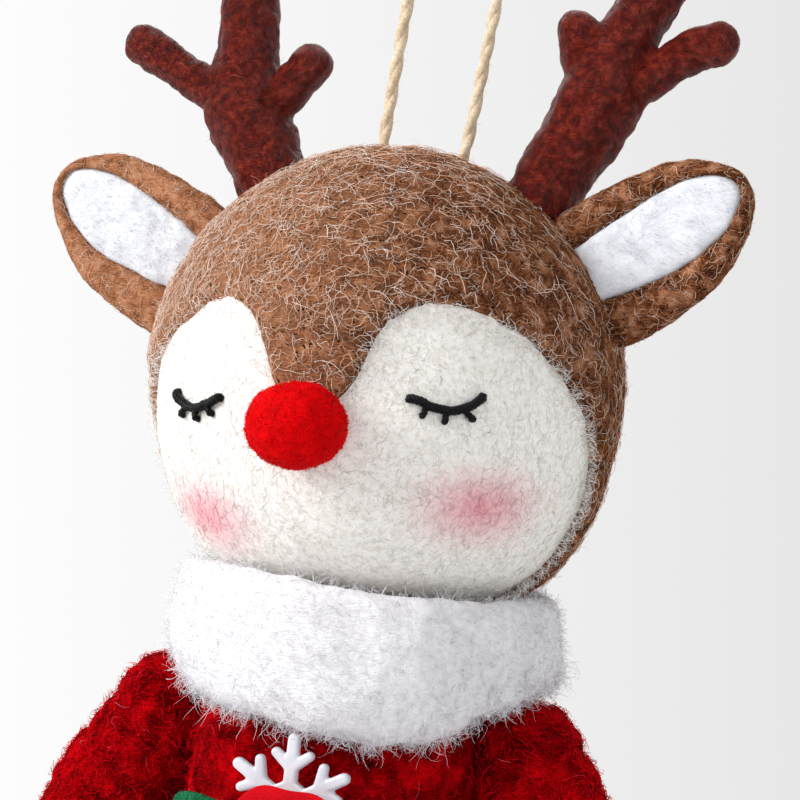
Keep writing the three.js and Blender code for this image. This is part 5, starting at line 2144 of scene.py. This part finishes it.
@dataclass
class Brooch:
    """Snowflake, rosette and leaf on the chest."""

    form: BodyForm = field(default_factory=BodyForm)
    flake_arm: float = 8.3
    flake_bar: float = 1.5
    flake_thickness: float = 1.4
    drop: float = 13.5
    branch: Pair = (0.5, 0.36)  # where it leaves an arm, and its length
    branch_deg: float = 52.0
    rosette_radius: float = 8.4
    rosette_depth: float = 4.2
    rosette_turns: float = 3.42
    rosette_drop: float = 5.8
    leaf_length: float = 14.0
    leaf_width: float = 6.4
    leaf_thickness: float = 1.0
    leaf_start: float = 0.12  # of its length, from the chest's middle
    leaf_tilt_deg: float = 7.0
    leaf_bend: float = 34.0
    leaf_vein: float = 0.18
    flake_aside: float = 0.9  # the snowflake sits this far along X
    flake_hub: float = 2.6
    hub_shares: Pairs = (
        (0.01, 1.0), (0.92, 1.0), (1.0, 0.6), (1.0, -0.6), (0.92, -1.0), (0.01, -1.0),
    )  # fmt: skip
    flake_face: float = 1.7  # how flat its front and back are pressed
    flake_voxel: float = 0.17
    ribbon_thickness: float = 0.28
    cloth_rows: Pairs = ((0.02, 0.0), (0.5, 0.0), (0.62, 0.2), (0.6, 0.5), (0.2, 0.7))
    knot_rows: Pairs = ((0.17, 1.6), (0.1, 2.4), (0.01, 2.6))
    rosette_aside: float = 3.1
    rosette_corner: float = 2.8  # exponent of its outline, 2 for a round one
    rosette_ripple: float = 0.022  # of its radius
    rosette_folds: int = 8  # in a turn of the ribbon
    rosette_fold_depth: float = 0.35
    gap: float = 0.3
    leaf_shares: Pairs = (
        (0, 0.6), (0.16, 0.86), (0.36, 0.97), (0.6, 1), (0.84, 0.96), (0.96, 0.74), (1, 0.3),
    )  # fmt: skip

    @property
    def flake_height(self) -> float:
        """Height of the snowflake's centre."""
        return self.form.top - self.drop

    @property
    def flake_back(self) -> float:
        """How far forward the snowflake's back lies."""
        low = self.flake_height - self.flake_arm
        chest = max(self.form.half_depth_at(self.flake_height), self.form.half_depth_at(low))
        return chest + 3 * self.gap + self.leaf_thickness

    def build(self) -> None:
        """Builds the three pieces."""
        self.snowflake()
        self.rosette()
        self.leaf()

    def snowflake(self) -> None:
        """Models the moulded snowflake: six arms, each with one pair of side branches."""
        middle = -self.flake_back - self.flake_thickness / 2
        centre = np.array((self.flake_aside, middle, self.flake_height))
        half = self.flake_bar / 2
        start, length = (share * self.flake_arm for share in self.branch)
        lean = math.radians(self.branch_deg)
        bars = []
        for count in range(6):
            turn = math.pi / 2 + count * math.pi / 3
            along = np.array((math.cos(turn), 0.0, math.sin(turn)))
            tip = along * (self.flake_arm - half)
            bars.append(self.bar(f"flake_arm_{count}", centre, centre + tip, half * 1.15, half))
            for sign in (1, -1):
                way = turn + sign * lean
                root = centre + along * start
                end = root + np.array((math.cos(way), 0.0, math.sin(way))) * (length - half / 2)
                bars.append(self.bar(f"flake_branch_{count}_{sign}", root, end, half, half * 0.82))
        hub = [(share * self.flake_hub, half * 0.9 * depth) for share, depth in self.hub_shares]
        bars.append(ringed("flake_hub", facing_rings(centre, hub, 32)))
        obj = joined("snowflake_moulding", bars)
        apply_modifier(obj, "REMESH", mode="VOXEL", voxel_size=self.flake_voxel * MM)
        apply_modifier(obj, "SMOOTH", factor=0.5, iterations=5)
        self.press(obj)
        obj.data.shade_smooth()
        dress(obj, "root", "flake_plastic", FLAKE_PLASTIC, "snowflake")

    def press(self, obj: Object) -> None:
        """Flattens the snowflake's front and back and leaves its edges round."""
        points = mesh_points(obj.data)
        half = self.flake_thickness / 2 * MM
        middle = points[:, 1].mean()
        share = np.tanh(self.flake_face * (points[:, 1] - middle) / half) / math.tanh(self.flake_face)
        points[:, 1] = middle + half * np.clip(share, -1, 1)
        place_points(obj.data, points)

    def bar(self, name: str, start: Array, end: Array, first: float, last: float) -> Object:
        """Makes one bar with round ends from two places and their radii."""
        rows = np.array([(*start, first), (*((start + end) / 2), (first + last) / 2), (*end, last)])
        along = unit(end - start)
        return tube(name, rows, (-along, along), (5, 6), 20)

    def rosette(self) -> None:
        """Winds the ribbon rosette: a strip in a spiral that opens out towards its front edge."""
        obj, u, v = flat_grid("ribbon_rosette", 180, 8)
        along = (u + 1) / 2
        out = (v + 1) / 2
        turn = 2 * math.pi * self.rosette_turns * along
        wave = np.sin(turn * 1.5 + 0.8) * along
        reach = self.rosette_radius * (0.06 + 0.58 * along**0.8 + (0.1 + 0.27 * along) * out**2)
        square = np.abs(np.cos(turn)) ** self.rosette_corner + np.abs(np.sin(turn)) ** self.rosette_corner
        reach = reach * (1 + 0.05 * wave * out) * (1 + (square ** (-1 / self.rosette_corner) - 1) * along)
        fold = self.rosette_folds * turn
        reach = reach * (1 - self.rosette_ripple * (1 + np.cos(fold - 0.9)) * along)
        rise = np.sin(out * math.pi * 0.62) / math.sin(math.pi * 0.5)
        forward = self.rosette_depth * (0.14 + rise * (0.86 - 0.42 * along**2) + 0.07 * wave * out**2)
        forward = forward + self.rosette_fold_depth * np.sin(fold) * along * out
        back = self.flake_back + self.flake_thickness + self.gap
        height = self.flake_height - self.rosette_drop
        places = np.stack(
            [self.rosette_aside + reach * np.cos(turn), -back - forward, height + reach * np.sin(turn)],
            axis=1,
        )
        place_points(obj.data, places)
        settle(obj)
        apply_modifier(obj, "SOLIDIFY", thickness=self.ribbon_thickness * MM, offset=0.0)
        apply_modifier(obj, "SUBSURF", levels=1, render_levels=1)
        obj = joined("ribbon_rosette", [obj, self.backing(back, height)])
        face_out(obj)
        obj.data.shade_smooth()
        dress(obj, "root", "rosette_cloth", RIBBON, "rosette")

    def backing(self, back: float, height: float) -> Object:
        """Makes the round cloth that the ribbon is sewn on, with a small knot in its middle."""
        radius = self.rosette_radius
        centre = np.array((self.rosette_aside, -back, height))
        rows = [(share * radius, -forward) for share, forward in self.cloth_rows + self.knot_rows]
        return ringed("rosette_backing", facing_rings(centre, rows, 36))

    def leaf(self) -> None:
        """Cuts the felt leaf and bends it a little, less than the chest that it touches."""
        obj, u, v = flat_grid("leaf_cut", 40, 16)
        shares = catmull(np.array(self.leaf_shares), 6)
        along = (u + 1) / 2
        across = v * np.interp(along, shares[:, 0], shares[:, 1]) * self.leaf_width / 2
        height = self.flake_height - self.rosette_drop
        tilt = math.radians(self.leaf_tilt_deg)
        reach = (along + self.leaf_start) * self.leaf_length
        turn = (reach * math.cos(tilt) - across * math.sin(tilt)) / self.leaf_bend
        rise = reach * math.sin(tilt) + across * math.cos(tilt)
        chest = max(self.form.half_depth_at(height - drop) for drop in (0, self.leaf_width / 2))
        middle = chest + 2 * self.gap - self.leaf_bend
        vein = self.leaf_vein * bell(v, 0.0, 0.12)
        out = self.leaf_bend + self.leaf_thickness / 2 - vein
        places = np.stack([-out * np.sin(turn), -middle - out * np.cos(turn), height + rise], axis=1)
        place_points(obj.data, places)
        settle(obj)
        face_out(obj)
        apply_modifier(obj, "SOLIDIFY", thickness=self.leaf_thickness * MM, offset=0.0)
        apply_modifier(obj, "BEVEL", width=0.25 * MM, segments=2, limit_method="ANGLE")
        obj.data.shade_smooth()
        dress(obj, "root", "leaf_felt", LEAF_FELT, "leaf")
        rng = np.random.default_rng(97)
        fuzz = Standing(800, (0.2, 0.6), 0.02, stand=0.5, spread=0.6, curl=0.9, knots=3)
        cover(Surface(obj), rng, "root", "leaf_felt", LEAF_FUZZ, {"leaf_fuzz": fuzz})


# Parts inside

INSIDE: dict[str, Finish] = {
    "head_core": STUFFING,
    "torso_core": STUFFING,
    "twine_knot": TWINE,
    "neck_dowel": PEG_WOOD,
    "shoulder_thread": SEWING_THREAD,
    "antler_wire_left": STEEL_WIRE,
    "antler_wire_right": STEEL_WIRE,
}


def finish_inside(nodes: dict[str, Object]) -> None:
    """Gives the parts that the wool hides their own finishes."""
    for name, finish in INSIDE.items():
        nodes[name].data.materials.clear()
        nodes[name].data.materials.append(material_of(finish))
        log.info("%s: finished as %s", name, finish.name)


# Studio


@dataclass
class Studio:
    """The camera at the photograph's angle, a pale floor and soft lamps."""

    azimuth_deg: float = 18.0
    elevation_deg: float = 2.0
    roll_deg: float = 6.0
    distance: float = 400.0
    view_width: float = 98.0
    shift: Pair = (1.825, -2.82)
    floor_height: float = -0.222
    floor_radius: float = 0.42
    light_colour: tuple[float, float, float, float] = (0.96, 0.98, 1.0, 1.0)
    light_strength: float = 0.59
    lamps: tuple[tuple[str, Triple, float, float], ...] = (
        ("key", (-0.86, -0.62, 0.48), 0.6, 15.3),
        ("fill", (0.9, -0.7, 0.25), 1.0, 3.7),
        ("rear", (-0.3, 0.9, 0.6), 0.9, 4.0),
    )

    def axes(self) -> tuple[Vector, Vector, Vector]:
        """Returns the camera's right, up and back.

        Returns:
            The three unit vectors.
        """
        turn = math.radians(self.azimuth_deg)
        rise = math.radians(self.elevation_deg)
        roll = math.radians(self.roll_deg)
        back = Vector(
            (math.sin(turn) * math.cos(rise), -math.cos(turn) * math.cos(rise), math.sin(rise))
        )
        right = Vector((math.cos(turn), math.sin(turn), 0.0))
        up = back.cross(right)
        across = right * math.cos(roll) + up * math.sin(roll)
        return across, up * math.cos(roll) - right * math.sin(roll), back

    def camera(self) -> None:
        """Sets the camera."""
        right, up, back = self.axes()
        data = bpy.data.cameras.new("camera")
        data.sensor_width = 36.0
        data.lens = data.sensor_width * self.distance / self.view_width
        data.clip_start = 0.01
        data.clip_end = 20.0
        camera = bpy.data.objects.new("camera", data)
        bpy.context.scene.collection.objects.link(camera)
        place = Vector(ORIGIN) + back * self.distance + right * self.shift[0] + up * self.shift[1]
        turn = Matrix((right, up, back)).transposed()
        camera.matrix_world = Matrix.Translation(place * MM) @ turn.to_4x4()
        bpy.context.scene.camera = camera

    def lamp(self, name: str, place: Triple, size: float, power: float) -> None:
        """Adds a soft lamp that points at the head.

        Args:
            name: The lamp's name.
            place: Where it stands, in metres from the head.
            size: Its width in metres.
            power: Its power in watts.
        """
        data = bpy.data.lights.new(name, "AREA")
        data.size = size
        data.energy = power
        obj = bpy.data.objects.new(name, data)
        centre = Vector(ORIGIN) * MM
        obj.location = centre + Vector(place)
        obj.rotation_euler = (centre - obj.location).to_track_quat("-Z", "Y").to_euler()
        bpy.context.scene.collection.objects.link(obj)

    def world(self) -> None:
        """Lights the object evenly and shows a near-white background, with painted light that makes it paler
        at the left of the view, the lamp side, and greyer at the right.
        """
        world = bpy.data.worlds.new("studio")
        world.use_nodes = True
        bpy.context.scene.world = world
        nodes = Nodes(world.node_tree)
        nodes.tree.nodes.clear()
        half = self.view_width / 2 / self.distance
        way = nodes.add("ShaderNodeTexCoord").outputs["Generated"]
        across = nodes.add("ShaderNodeVectorMath", {0: way, 1: self.axes()[0]}, operation="DOT_PRODUCT")
        inputs = {"Value": across.outputs["Value"], "From Min": -half, "From Max": half}
        span = nodes.add("ShaderNodeMapRange", inputs).outputs["Result"]
        # painted light: the background runs from pale at the view's left, on the lamp side, to greyer at its
        # right
        colour = nodes.ramp(span, [(0.0, (253, 253, 253)), (1.0, (232, 231, 231))])
        seen = nodes.add("ShaderNodeBackground", {"Color": colour, "Strength": 1.0})
        tint = {"Color": self.light_colour, "Strength": self.light_strength}
        light = nodes.add("ShaderNodeBackground", tint)
        rays = nodes.add("ShaderNodeLightPath").outputs
        share = rays["Is Camera Ray"]
        for word in ("Is Glossy Ray", "Is Transmission Ray"):
            share = nodes.math("MAXIMUM", share, rays[word])
        mix = nodes.add("ShaderNodeMixShader", {0: share, 1: light.outputs[0], 2: seen.outputs[0]})
        nodes.add("ShaderNodeOutputWorld", {0: mix.outputs[0]})

    def floor(self) -> None:
        """Lays a pale round floor under the ornament."""
        deselect_all()
        place = (ORIGIN[0] * MM, ORIGIN[1] * MM, self.floor_height)
        bpy.ops.mesh.primitive_circle_add(
            vertices=96, radius=self.floor_radius, fill_type="NGON", location=place
        )
        floor = take_primitive("floor")
        shader = Shader("floor_paper")
        tint = shader.grain(40.0, 2.0)
        colour = shader.ramp(tint, [(0.3, (206, 205, 205)), (0.7, (212, 211, 211))])
        floor.data.materials.append(shader.finish(colour, 0.9))
        floor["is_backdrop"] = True

    def build(self) -> None:
        """Sets camera, floor, lamps and the plain view transform."""
        self.camera()
        self.world()
        self.floor()
        for lamp in self.lamps:
            self.lamp(*lamp)
        bpy.context.scene.view_settings.view_transform = "Standard"


def main() -> None:
    """Builds the ornament's pieces in order and writes how large they came out."""
    logging.basicConfig(level=logging.INFO, format="%(message)s")
    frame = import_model()
    Studio().build()
    HangingLoop().build()
    Head().build()
    for side in Side:
        Ear(side).build()
    for antler in ANTLERS:
        antler.build()
    Collar().build()
    Coat().build()
    Brooch().build()
    for side in Side:
        Arm(side).build()
        Leg(side).build()
    finish_inside(frame["nodes"])
    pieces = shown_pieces()
    triangles = 0
    for piece in pieces:
        if piece.type == "MESH":
            triangles += sum(len(face.vertices) - 2 for face in piece.data.polygons)
    log.info("%d pieces, %d triangles", len(pieces), triangles)


if __name__ == "__main__":
    main()
